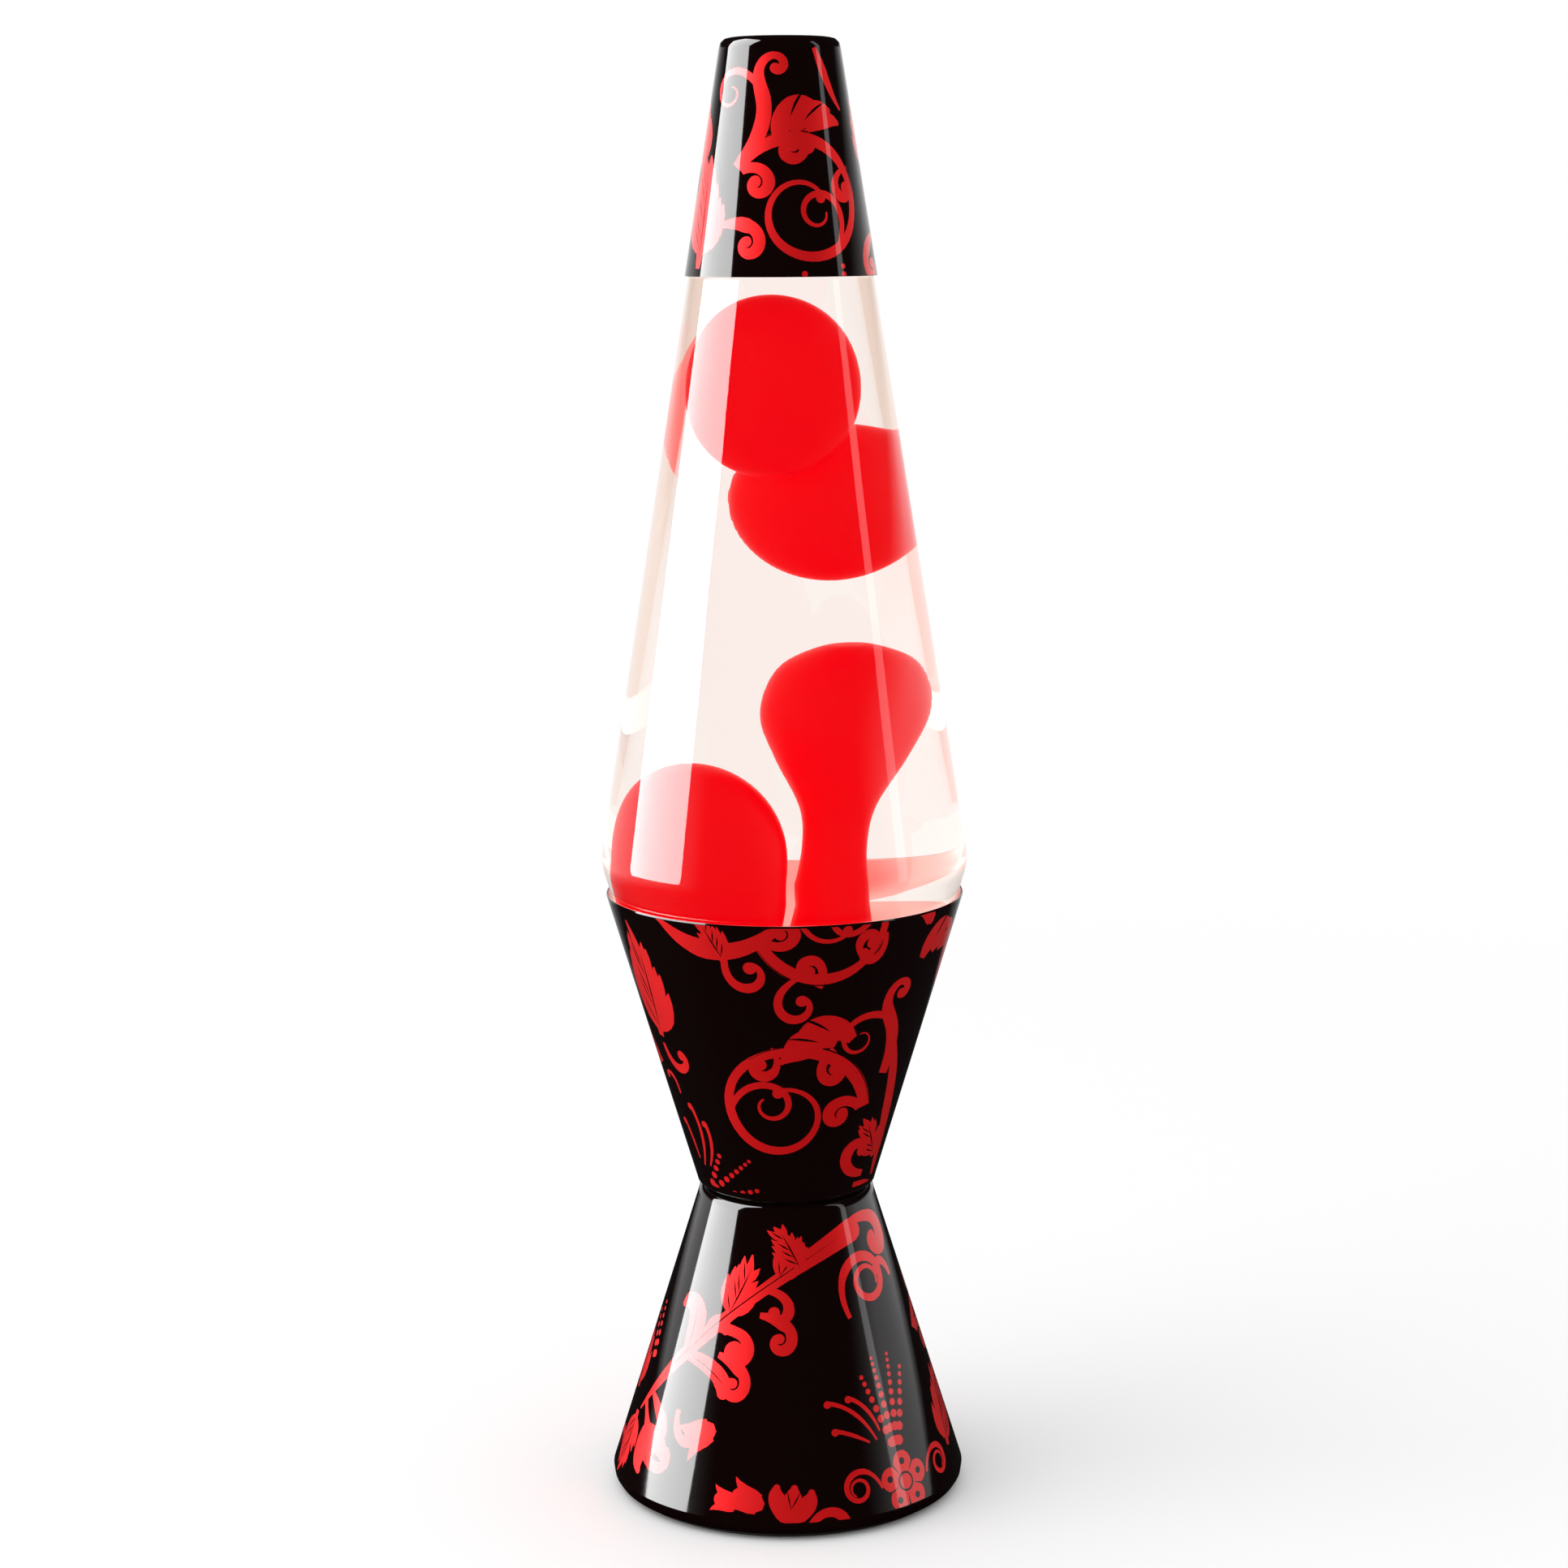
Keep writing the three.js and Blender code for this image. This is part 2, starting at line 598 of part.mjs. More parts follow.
// The envelope is a dome on a flared neck; its neck is open, and the stem stands in it.
function bulbGlass() {
  const side = (inset) => [
    point(BULB_NECK - inset, BASE_TOP - 5),
    point(BULB_NECK - inset, BASE_TOP + 0.3),
    point(BULB_NECK + 1 - inset, BASE_TOP + 2.5),
    point(BULB_NECK + 6.4 - inset, BASE_TOP + 12),
    ...arc(0, BULB_WIDEST, BULB_RADIUS - inset, -12, 78, 6),
  ];
  return spin(
    [point(0, BULB_TOP - BULB_WALL), ...side(BULB_WALL).reverse(), ...side(0), point(0, BULB_TOP)],
    20,
  );
}

function bulbShell() {
  const [r, sheet] = [BULB_BASE_RADIUS, 0.3];
  return spinLoop([
    point(5.2, BULB_FOOT + 1.5),
    point(r - 1, BULB_FOOT + 2.6),
    point(r, BULB_FOOT + 3.8),
    point(r, BASE_TOP),
    point(r - sheet, BASE_TOP),
    point(r - sheet, BULB_FOOT + 4),
    point(r - 1.1, BULB_FOOT + 2.9),
    point(5.2, BULB_FOOT + 1.9),
  ]);
}

const bulbInsulator = () =>
  spinLoop([
    point(2.8, BULB_FOOT + 0.5),
    point(4.2, BULB_FOOT + 0.8),
    point(4.9, BULB_FOOT + 1.5),
    point(4.9, BULB_FOOT + 2.8),
    point(2.8, BULB_FOOT + 2.8),
  ]);

const bulbContact = () =>
  spin([
    point(0, BULB_FOOT),
    point(1.8, BULB_FOOT + 0.1),
    point(2.5, BULB_FOOT + 0.8),
    point(2.5, BULB_FOOT + 2.6),
    point(0, BULB_FOOT + 2.6),
  ]);

const STEM_TOP = 72;

const bulbStem = () =>
  spin([
    point(0, BASE_TOP - 2),
    point(6.2, BASE_TOP - 2),
    point(6.2, BASE_TOP - 1.2),
    point(2.8, BASE_TOP + 2.5),
    point(2.3, STEM_TOP - 4),
    point(3, STEM_TOP - 1.5),
    point(1.4, STEM_TOP),
    point(0, STEM_TOP),
  ]);

const FILAMENT_SPAN = 8.5; // half the distance between its two lead wires
const FILAMENT_Z = 86;

const bulbFilament = () =>
  wire(
    [
      [-FILAMENT_SPAN + 0.9, 0, FILAMENT_Z],
      [-FILAMENT_SPAN / 2, 3.4, FILAMENT_Z + 0.6],
      [0, 4.6, FILAMENT_Z + 0.8],
      [FILAMENT_SPAN / 2, 3.4, FILAMENT_Z + 0.6],
      [FILAMENT_SPAN - 0.9, 0, FILAMENT_Z],
    ],
    0.35,
    14,
  );

const bulbLead = (side) =>
  wire(
    [
      [side * 1.6, 0, STEM_TOP + GAP],
      [side * 3.4, 0, STEM_TOP + 5],
      [side * (FILAMENT_SPAN - 0.6), 0, FILAMENT_Z - 4],
      [side * FILAMENT_SPAN, 0, FILAMENT_Z + 1],
    ],
    0.35,
    8,
  );

add("bulb_glass", bulbGlass(), GLASS);
add("bulb_shell", bulbShell(), ALUMINIUM);
add("bulb_insulator", bulbInsulator(), BLACK_PLASTIC);
add("bulb_contact", bulbContact(), BRASS);
add("bulb_stem", bulbStem(), GLASS);
add("bulb_filament", bulbFilament(), STEEL);
add("bulb_lead_left", bulbLead(-1), STEEL);
add("bulb_lead_right", bulbLead(1), STEEL);

export default lamp;
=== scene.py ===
"""A lava lamp: printed cones and cap, a tapered bottle of liquid and wax, and the bulb and its holder."""

import cmath
import math

import bmesh
import bpy
import numpy as np
from mathutils import Matrix, Vector
from mathutils.geometry import delaunay_2d_cdt


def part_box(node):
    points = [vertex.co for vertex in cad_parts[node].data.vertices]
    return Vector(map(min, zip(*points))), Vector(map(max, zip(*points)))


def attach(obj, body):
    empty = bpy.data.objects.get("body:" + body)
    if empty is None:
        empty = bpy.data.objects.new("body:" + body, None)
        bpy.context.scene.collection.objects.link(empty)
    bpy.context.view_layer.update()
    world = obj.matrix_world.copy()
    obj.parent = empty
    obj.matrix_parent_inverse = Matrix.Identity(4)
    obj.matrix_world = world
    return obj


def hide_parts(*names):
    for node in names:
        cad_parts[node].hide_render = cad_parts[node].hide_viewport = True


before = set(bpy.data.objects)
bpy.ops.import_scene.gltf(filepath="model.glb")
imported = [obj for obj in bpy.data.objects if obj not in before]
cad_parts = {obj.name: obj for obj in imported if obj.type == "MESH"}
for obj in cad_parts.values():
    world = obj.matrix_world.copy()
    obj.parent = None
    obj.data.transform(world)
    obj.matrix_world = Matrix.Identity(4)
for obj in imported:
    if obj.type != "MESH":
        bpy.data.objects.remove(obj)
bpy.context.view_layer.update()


# ---------------------------------------------------------------- bottle
# The bottle is moulded glass: a tapered body, a rounded belly that wedges in the cup, and a short neck under
# the cap with a lip for its closure. Its wall is about 2 mm thick, and clear all over.

MM = 0.001
WHOLE_TURN = 2 * math.pi
SHARP_EDGE = math.radians(35)


def outline_of(node):
    """The outline of a turned CAD node, as (radius, height) points, cut where x is positive and y is 0."""
    bm = bmesh.new()
    bm.from_mesh(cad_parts[node].data)
    bmesh.ops.remove_doubles(bm, verts=bm.verts, dist=1e-6)
    on_cut = {v for v in bm.verts if abs(v.co.y) < 1e-6 and v.co.x > -1e-6}
    steps = {v: [] for v in on_cut}
    for edge in bm.edges:
        a, b = edge.verts
        if a in on_cut and b in on_cut and not (abs(a.co.x) < 1e-6 and abs(b.co.x) < 1e-6):
            steps[a].append(b)
            steps[b].append(a)
    ends = [v for v in on_cut if len(steps[v]) == 1]
    here = min(ends or on_cut, key=lambda v: (v.co.z, v.co.x))
    path, before = [here], None
    while True:
        onward = [v for v in steps[here] if v is not before and v not in path[1:]]
        if not onward or onward[0] is path[0]:
            break
        before, here = here, onward[0]
        path.append(here)
    points = [(v.co.x, v.co.z) for v in path]
    bm.free()
    return points, not ends


def spun(bm, points, closed, steps):
    """Spins an outline about the lamp's axis, into the mesh that is being made."""
    rim = [bm.verts.new((max(r, 0), 0, z)) for r, z in points]
    pairs = list(zip(rim, rim[1:])) + ([(rim[-1], rim[0])] if closed else [])
    edges = [bm.edges.new(pair) for pair in pairs]
    bmesh.ops.spin(
        bm, geom=rim + edges, cent=(0, 0, 0), axis=(0, 0, 1), angle=WHOLE_TURN, steps=steps, use_merge=True
    )


def piece_of(name, bm, sharp=SHARP_EDGE):
    """Merges, turns outwards and smooths what was made, and puts it in the scene."""
    bmesh.ops.remove_doubles(bm, verts=bm.verts, dist=1e-6)
    bmesh.ops.recalc_face_normals(bm, faces=bm.faces)
    mesh = bpy.data.meshes.new(name)
    bm.to_mesh(mesh)
    bm.free()
    mesh.shade_smooth()
    mesh.set_sharp_from_angle(angle=sharp)
    piece = bpy.data.objects.new(name, mesh)
    bpy.context.scene.collection.objects.link(piece)
    return piece


def in_mm(points):
    return [(r * MM, z * MM) for r, z in points]


def turned(name, points, closed=False, steps=96):
    """A piece spun from an outline of (radius, height) points."""
    bm = bmesh.new()
    spun(bm, points, closed, steps)
    return piece_of(name, bm)


class Socket:
    """A socket of a node tree. Arithmetic on it adds Math nodes, and node() adds any other node."""

    def __init__(self, tree, socket):
        self.tree, self.socket = tree, socket

    def node(self, kind, inputs, output=0, stops=None, **settings):
        made = self.tree.nodes.new(kind)
        for name, value in settings.items():
            setattr(made, name, value)
        if stops:
            ramp = made.color_ramp
            while len(ramp.elements) < len(stops):
                ramp.elements.new(1)
            for element, (place, level) in zip(ramp.elements, stops):
                element.position, element.color = place, (level, level, level, 1)
        for name, value in inputs.items():
            if isinstance(value, Socket):
                self.tree.links.new(value.socket, made.inputs[name])
            else:
                made.inputs[name].default_value = value
        return Socket(self.tree, made.outputs[output])

    def maths(self, operation, *values):
        return self.node("ShaderNodeMath", dict(enumerate((self, *values))), operation=operation)

    def __add__(self, other):
        return self.maths("ADD", other)

    def __sub__(self, other):
        return self.maths("SUBTRACT", other)

    def __rsub__(self, other):
        return (self * -1) + other

    def __mul__(self, other):
        return self.maths("MULTIPLY", other)

    __radd__, __rmul__ = __add__, __mul__

    def blend(self, low, high):
        """A colour between low and high, with this socket as the factor."""
        return self.node("ShaderNodeMix", {0: self, 6: low, 7: high}, output=2, data_type="RGBA")

    def steps(self, *stops):
        """This value through a ramp of (place, level) stops."""
        return self.node("ShaderNodeValToRGB", {0: self}, stops=stops)

    def noise(self, scale, detail=2, roughness=0.5):
        inputs = {"Vector": self, "Scale": scale, "Detail": detail, "Roughness": roughness}
        return self.node("ShaderNodeTexNoise", inputs)

    def bump(self, strength, distance):
        return self.node("ShaderNodeBump", {"Height": self, "Strength": strength, "Distance": distance})


def new_finish(name, **constants):
    """A material with constants on its shader, the place on the piece as a socket, and a plug for links."""
    material = bpy.data.materials.new(name)
    material.use_nodes = True
    tree = material.node_tree
    shader = tree.nodes["Principled BSDF"]
    for socket, value in constants.items():
        shader.inputs[socket.replace("_", " ")].default_value = value
    place = Socket(tree, tree.nodes.new("ShaderNodeTexCoord").outputs["Object"])

    def plug(socket, value):
        tree.links.new(value.socket, shader.inputs[socket])

    return material, place, plug


def finished(piece, material, body, node):
    """Gives a piece its finish and the body it rides on, and hides the CAD node it stands for."""
    if material:
        piece.data.materials.clear()
        piece.data.materials.append(material)
    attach(piece, body)
    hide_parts(node)


FREE_TURNS = 5
# Painted glow: glass and liquid emit this pale colour on rays still caught after several turns, though
# neither is a lamp.
PAINTED_CAUGHT_GLOW = (0.115, 0.104, 0.098, 1)


def painted_glow_on_caught_rays(place):
    """A painted pale glow, in place of light that is still caught between the walls after several turns."""
    depth = place.node("ShaderNodeLightPath", {}, output="Ray Depth")
    return depth.maths("GREATER_THAN", FREE_TURNS + 0.5).blend((0, 0, 0, 1), PAINTED_CAUGHT_GLOW)


def glass(name, reflection):
    """Clear glass. The reflection is 1 for a dry surface."""
    material, place, plug = new_finish(
        name,
        Base_Color=(1, 1, 1, 1),
        Roughness=0,
        IOR=1.5,
        Transmission_Weight=1,
        Specular_Tint=(reflection, reflection, reflection, 1),
        Emission_Strength=1,
    )
    plug("Normal", place.noise(35, 1).bump(0.06, 0.2 * MM))
    # Painted glow on caught rays, not light from a lamp.
    plug("Emission Color", painted_glow_on_caught_rays(place))
    return material


BOTTLE_FLOOR = 120 * MM
SHOULDER = 332 * MM

bottle_outline = outline_of("globe_glass")[0]
bottle = turned("bottle", bottle_outline, steps=160)
finished(bottle, glass("bottle_glass", 1), "globe", "globe_glass")

# Inside, the liquid wets the glass, and their indexes are so close that the wet wall hardly reflects.
bottle.data.materials.append(glass("wetted_glass", 0.04))
for face in bottle.data.polygons:
    outwards = face.normal.x * face.center.x + face.normal.y * face.center.y
    if outwards < 0 or (face.normal.z > 0.9 and face.center.z < BOTTLE_FLOOR):
        face.material_index = 1


# ---------------------------------------------------------------- liquid
# The bottle is filled to just under its shoulder with a clear, faintly warm liquid that wets the glass. Its
# mesh reaches a little way into the wall, so that no film of air is drawn between the two.

LIQUID_TOP = 330 * MM
WETTING = 0.3 * MM

lip = max(range(len(bottle_outline)), key=lambda i: bottle_outline[i][1])
inside_of_bottle = [(r, z) for r, z in bottle_outline[lip + 1:] if z < SHOULDER]
wetted = [(r + WETTING if r > MM else 0, min(z, LIQUID_TOP)) for r, z in inside_of_bottle]


def clear_liquid():
    material, place, plug = new_finish(
        "clear_liquid",
        Roughness=0,
        IOR=1.38,
        Transmission_Weight=1,
        Specular_Tint=(0.05, 0.05, 0.05, 1),
        Emission_Strength=1,
    )
    warmth = place.noise(12, 1)
    plug("Base Color", warmth.blend((1, 0.93, 0.885, 1), (1, 0.92, 0.87, 1)))
    # Painted glow on caught rays, not light from a lamp.
    plug("Emission Color", painted_glow_on_caught_rays(place))
    return material


liquid = turned("liquid_fill", [(0, LIQUID_TOP), *wetted], steps=160)
finished(liquid, clear_liquid(), "globe", "liquid")


# ---------------------------------------------------------------- wax
# Red paraffin wax: a molten pool with a mound and a rising column, and two lumps that float free. The lamp is
# warm and lit from below, so the wax is smooth and soft in outline. A painted red glow makes it nearly even
# in colour.

WAX_LEVEL = 133 * MM
MOUND = {"centre": (-17.6, -5, 166), "half": (18.2, 18.6), "up": 23.4, "down": 38}
UPPER_LUMP = {"centre": (-2.2, -7.2, 282.4), "half": (18.3, 14.4), "up": 22.3, "down": 22.3}
LOWER_LUMP = {"centre": (8, 11, 251.6), "half": (16.8, 14), "up": 19, "down": 19.5}
COLUMN = (
    (13, 129), (8.6, 146), (6.9, 156), (5.9, 167), (6.9, 177),
    (11.9, 189), (15.1, 200), (12.4, 211), (5.5, 216.3), (0, 217.3),
)
COLUMN_FOOT = Vector((7.6, 4, 133)) * MM
COLUMN_HEAD = Vector((11.2, 6, 217.3)) * MM
WAX_VOXEL = 0.9 * MM


def lump(bm, centre, half, up, down):
    """A ball drawn out to its own half widths and half heights."""
    made = bmesh.ops.create_uvsphere(bm, u_segments=72, v_segments=48, radius=1)["verts"]
    for v in made:
        rise = v.co.z * (up if v.co.z > 0 else down)
        v.co = Vector((v.co.x * half[0], v.co.y * half[1], rise)) * MM + Vector(centre) * MM


def eased(points, steps=6):
    """A smooth line through some points."""
    ends = [points[0], *points, points[-1]]
    line = []
    for a, b, c, d in zip(ends, ends[1:], ends[2:], ends[3:]):
        for k in range(steps):
            t = k / steps
            line.append(tuple(
                0.5 * (2 * q + (r - p) * t + (2 * p - 5 * q + 4 * r - s) * t * t
                       + (3 * q - p - 3 * r + s) * t ** 3)
                for p, q, r, s in zip(a, b, c, d)
            ))
    return [*line, points[-1]]


def applied(piece):
    """Replaces a piece's mesh with what its modifiers make of it."""
    graph = bpy.context.evaluated_depsgraph_get()
    mesh = bpy.data.meshes.new_from_object(piece.evaluated_get(graph))
    piece.modifiers.clear()
    piece.data = mesh


def remade(piece, voxel, rounds):
    """Melts overlapping forms into one skin and evens it out."""
    skin = piece.modifiers.new("skin", "REMESH")
    skin.mode, skin.voxel_size = "VOXEL", voxel
    even = piece.modifiers.new("even", "SMOOTH")
    even.factor, even.iterations = 0.5, rounds
    applied(piece)
    piece.data.shade_smooth()


def wax_column(bm):
    before = set(bm.verts)
    side = eased(COLUMN)
    spun(bm, [(0, side[0][1] * MM), *in_mm(side)], False, 64)
    for v in bm.verts:
        if v not in before:
            part = min(max((v.co.z - COLUMN_FOOT.z) / (COLUMN_HEAD.z - COLUMN_FOOT.z), 0), 1)
            lean = COLUMN_FOOT.lerp(COLUMN_HEAD, part * part * (3 - 2 * part))
            v.co += Vector((lean.x, lean.y, 0))


def wax_pool():
    bm = bmesh.new()
    floor = [(r - 0.2 * MM if r > MM else 0, z + 0.2 * MM) for r, z in inside_of_bottle if z < WAX_LEVEL]
    (low_r, low_z), (high_r, high_z) = floor[0], [p for p in inside_of_bottle if p[1] > WAX_LEVEL][-1]
    edge = low_r + (high_r - low_r) * (WAX_LEVEL - low_z) / (high_z - low_z) - 0.2 * MM
    spun(bm, [(0, WAX_LEVEL), (edge, WAX_LEVEL), *floor], False, 96)
    lump(bm, **MOUND)
    wax_column(bm)
    piece = piece_of("molten_wax", bm)
    remade(piece, WAX_VOXEL, 5)
    return piece


def red_wax():
    material, place, plug = new_finish(
        "red_wax",
        Roughness=0.35,
        IOR=1.1,
        Subsurface_Weight=0.3,
        Subsurface_Scale=4 * MM,
        Emission_Strength=0.8,
    )
    cloud = place.noise(40, 2)
    plug("Base Color", cloud.blend((0.24, 0, 0.002, 1), (0.28, 0, 0.003, 1)))
    # Painted glow: the wax emits red though it is no lamp, and this flattens its shading.
    plug("Emission Color", cloud.blend((1, 0, 0.003, 1), (0.93, 0, 0.004, 1)))
    return material


wax = red_wax()
finished(wax_pool(), wax, "globe", "wax_pool")
for name, form, body, node in (
    ("upper_lump", UPPER_LUMP, "upper_wax", "wax_blob_upper"),
    ("lower_lump", LOWER_LUMP, "lower_wax", "wax_blob_lower"),
):
    bm = bmesh.new()
    lump(bm, **form)
    finished(piece_of(name, bm), wax, body, node)


# ---------------------------------------------------------------- print on the cones and cap
# The cones and the cap are spun aluminium, enamelled black and then printed with scrolls, leaves, flowers and
# beads in a see-through red lacquer. The aluminium shines through the red, and stays bare inside.

PRINT_STEPS = 160
PRINT_ROW = 2.4 * MM
PRINT_MARGIN = 0.15 * MM
BLACK, RED, BARE = range(3)


def path_of(start, heading, bends):
    """Points and directions along a path, from stretches of (length, bend at its start, bend at its end)."""
    place, turn = complex(*start), math.radians(heading)
    points, ways = [place], [cmath.exp(1j * turn)]
    for length, bend, last_bend in bends:
        steps = max(4, math.ceil(length * max(abs(bend), abs(last_bend)) / 0.22), math.ceil(length / 2))
        for i in range(steps):
            middle, end = (
                cmath.exp(1j * (turn + length * (bend * t + (last_bend - bend) * t * t / 2)))
                for t in ((i + 0.5) / steps, (i + 1) / steps)
            )
            place += middle * length / steps
            points.append(place)
            ways.append(end)
        turn += length * (bend + last_bend) / 2
    return points, ways


def width_at(widths, part):
    place = part * (len(widths) - 1)
    i = min(int(place), len(widths) - 2)
    return widths[i] + (widths[i + 1] - widths[i]) * (place - i)


def disc(centre, radius):
    sides = max(10, math.ceil(radius * 12))
    return [centre + radius * cmath.exp(1j * WHOLE_TURN * i / sides) for i in range(sides)]


def stroke(start, heading, bends, widths, ball=0, ink=True):
    """A brush stroke along a path, with a bead inside its last bend. A stroke without ink shows the black."""
    points, ways = path_of(start, heading, bends)
    halves = [width_at(widths, i / (len(points) - 1)) / 2 for i in range(len(points))]
    left = [p + 1j * w * h for p, w, h in zip(points, ways, halves)]
    right = [p - 1j * w * h for p, w, h in zip(points, ways, halves)]
    tip = [points[-1] + ways[-1] * halves[-1] * cmath.exp(1j * a) for a in (-0.9, -0.3, 0.3, 0.9)]
    shapes = [(ink, right + (tip if halves[-1] > 0.15 else []) + left[::-1])]
    if ball:
        side = math.copysign(1, bends[-1][2])
        shapes.append((ink, disc(points[-1] + 1j * side * ways[-1] * (ball - halves[-1]), ball)))
    return shapes


def moved(shapes, to=(0, 0), turn=0, size=1, mirror=False):
    spin = size * cmath.exp(1j * math.radians(turn))
    return [
        (ink, [complex(*to) + spin * (complex(-p.real, p.imag) if mirror else p) for p in outline])
        for ink, outline in shapes
    ]


def scaled(widths, size):
    return [w * size for w in widths]


def lobe(start, heading, length, width, bend):
    """A leaf lobe with a rounded tip that leans over."""
    widths = scaled((0.45, 0.8, 1, 1.05, 1, 0.75, 0.35), width)
    return stroke(start, heading, [(length, bend * 0.3, bend * 1.5)], widths)


def vein(start, heading, length, bend, width=0.5):
    """A thin line that shows the black through a leaf."""
    widths = scaled((0.05, 0.7, 1, 0.6, 0.05), width)
    return stroke(start, heading, [(length, bend / 2, bend)], widths, ink=False)


def curl(length=12, width=2.6, tight=0.62, ball=1.4):
    """A short stem that rolls up round its own bead."""
    bends = [(length * 0.4, -0.05, -0.22), (length * 0.6, -0.22, -tight)]
    return stroke((0, 0), 90, bends, scaled((0.55, 0.85, 1, 1.1, 0.95, 0.7, 0.5), width), ball=ball)


def tendril(radius=5, width=1.2, turns=1.6):
    """A thin stem that winds into itself."""
    bend = 1 / radius
    length = turns * WHOLE_TURN * radius / 1.9
    bends = [(radius, -bend * 0.3, -bend), (length, -bend, -bend * 2.8)]
    return stroke((0, 0), 90, bends, scaled((0.5, 1, 1.1, 1, 0.9, 0.8, 0.65, 0.5, 0.3), width))


def ring_scroll():
    """A broad ring that closes round curls and a tendril. Its root is at the upper left."""
    band = (3.0, 3.4, 3.2, 2.2, 2.1, 2.5, 2.3, 1.9, 1.5, 1.2, 1.0)
    shapes = stroke((-14.7, 6.1), 47, [(60, -0.046, -0.082), (37, -0.082, -0.15)], band, ball=1.25)
    shapes += stroke((10.9, -12.6), 68, [(24, 0.06, 0.28), (8, 0.28, 0.42)], (1.3, 1.7, 1.7, 1.3, 0.9, 0.5))
    hanging = [(7, -0.06, -0.28), (9, -0.3, -0.66)]
    shapes += stroke((2.6, 14.4), -76, hanging, (2.2, 2.2, 2.8, 2.9, 2.4, 1.6), ball=1.5)
    shapes += stroke((14.6, 6.2), 196, [(6, 0.1, 0.25), (9, 0.25, 0.66)], (0.6, 2.2, 2.8, 2.6, 1.7), ball=1.5)
    rooted = [(7, -0.1, -0.28), (10.5, -0.28, -0.6)]
    shapes += stroke((-13.6, 5.4), 18, rooted, (2.2, 2.8, 3.1, 2.8, 2.2, 1.7), ball=1.5)
    shapes += stroke((-15.0, 7.5), 47, [(40, -0.045, -0.068)], (0.1, 0.3, 0.36, 0.3, 0.1), ink=False)
    return shapes


def tuft():
    """Three lobes that fan over a ring."""
    shapes = lobe((-6, -2), 72, 16, 6.2, -0.11)
    shapes += lobe((-1.5, -0.6), 50, 14, 5.6, -0.11)
    shapes += lobe((2.5, -0.6), 26, 11.5, 4.6, -0.10)
    shapes += vein((-1.2, 3.6), 62, 10, -0.07, 0.9)
    shapes += vein((2.6, 2.0), 40, 9, -0.07, 0.8)
    return shapes


def swaying_stem(rise=13):
    """A stem that swells, sways and ends in a curl, with a thin tendril on its outer side."""
    sway = [(rise, 0.03, 0.07), (6, 0.07, -0.1), (7, -0.12, -0.22), (10, -0.24, -0.6)]
    shapes = stroke((0, 0), 46, sway, (3.4, 4.6, 4.4, 3.0, 2.3, 2.1, 2.4, 2.7, 2.3, 1.6), ball=1.5)
    fork = path_of((0, 0), 46, [(rise, 0.03, 0.07), (3, 0.07, 0)])[0][-1]
    thin = [(7, 0.02, 0.09), (20, 0.1, 0.27), (8, 0.27, 0.5)]
    root = (fork.real + 0.6, fork.imag - 0.5)
    return shapes + stroke(root, 128, thin, (2.2, 2.0, 1.5, 1.1, 0.8, 0.5, 0.35))


def hooked_leaf():
    """A leaf that swells, notches and rolls into a curl."""
    shapes = stroke((0, 0), 12, [(9, -0.03, -0.12)], (1.6, 2.4, 3.2, 4.0, 3.0))
    hook = [(7, -0.12, -0.3), (9, -0.3, -0.62)]
    return shapes + stroke((7, 0.4), -16, hook, (3.0, 3.2, 3.3, 2.8, 2.0, 1.5), ball=1.4)


def acanthus(length=16, lobes=4):
    """A leaf with a curving rib and pointed lobes on both sides."""
    rib = [(length * 0.6, 0.005, 0.02), (length * 0.4, 0.02, 0.07)]
    shapes = stroke((0, 0), 90, rib, (1.6, 3.2, 3.8, 3.4, 2.4, 0.5))
    points, ways = path_of((0, 0), 90, rib)
    veins = vein((0, 1), 90, length * 0.75, 0.012, 0.45)
    for i in range(lobes):
        k = int((0.16 + 0.62 * i / lobes) * (len(points) - 1))
        root, way = (points[k].real, points[k].imag), math.degrees(cmath.phase(ways[k]))
        reach = length * (0.56 - 0.06 * i)
        for side, span in ((1, 1), (-1, 0.8)):
            bends = [(reach * span, -0.02 * side, -0.13 * side)]
            widths = scaled((0.5, 1, 1, 0.6, 0.08), reach * 0.36)
            shapes += stroke(root, way + side * (50 - 5 * i), bends, widths)
        veins += vein(root, way + 44 - 5 * i, length * 0.3, -0.05, 0.4)
    return shapes + veins


def folded_leaf(length=14, width=5):
    """A leaf that folds over at its tip."""
    bends = [(length * 0.55, 0, -0.04), (length * 0.3, -0.1, -0.3), (length * 0.35, -0.3, -0.34)]
    shapes = stroke((0, 0), 90, bends, scaled((0.4, 0.8, 1, 1, 0.9, 0.8, 0.7, 0.3), width))
    return shapes + vein((0, 0.6), 90, length * 0.8, -0.05, 0.4)


def bell(size=1):
    """A bellflower seen from the side."""
    shapes = stroke((0, 0), 90, [(4.2, 0, 0)], (1.2, 3.0, 3.8, 3.6, 3.2))
    for side in (-1, 1):
        flare = [(5.6, side * 0.02, -side * 0.28)]
        shapes += stroke((side * 0.8, 1.0), 90 - side * 8, flare, (1.8, 2.2, 1.8, 1.2, 0.1))
    shapes += stroke((0, 3.4), 90, [(2.4, 0, 0)], (2.4, 1.6, 0.1))
    return moved(shapes, size=size)


def tulip():
    """A nodding flower with three rounded petals on a short stalk."""
    shapes = stroke((0, 0), 90, [(7, 0.02, -0.05)], (1.4, 1.2, 1.8, 3.5))
    for lean, reach, width in ((42, 9, 4.2), (0, 8, 4.6), (-42, 9, 4.2)):
        bends = [(reach * 0.6, lean * 0.0006, lean * 0.0006), (reach * 0.4, lean * 0.004, lean * 0.006)]
        shapes += stroke((0.3, 6), 90 - lean, bends, scaled((0.6, 1, 1.1, 1, 0.8, 0.4), width))
    return shapes + vein((0.2, 9), 70, 5, 0, 0.35) + vein((0.2, 9), 110, 5, 0, 0.35)


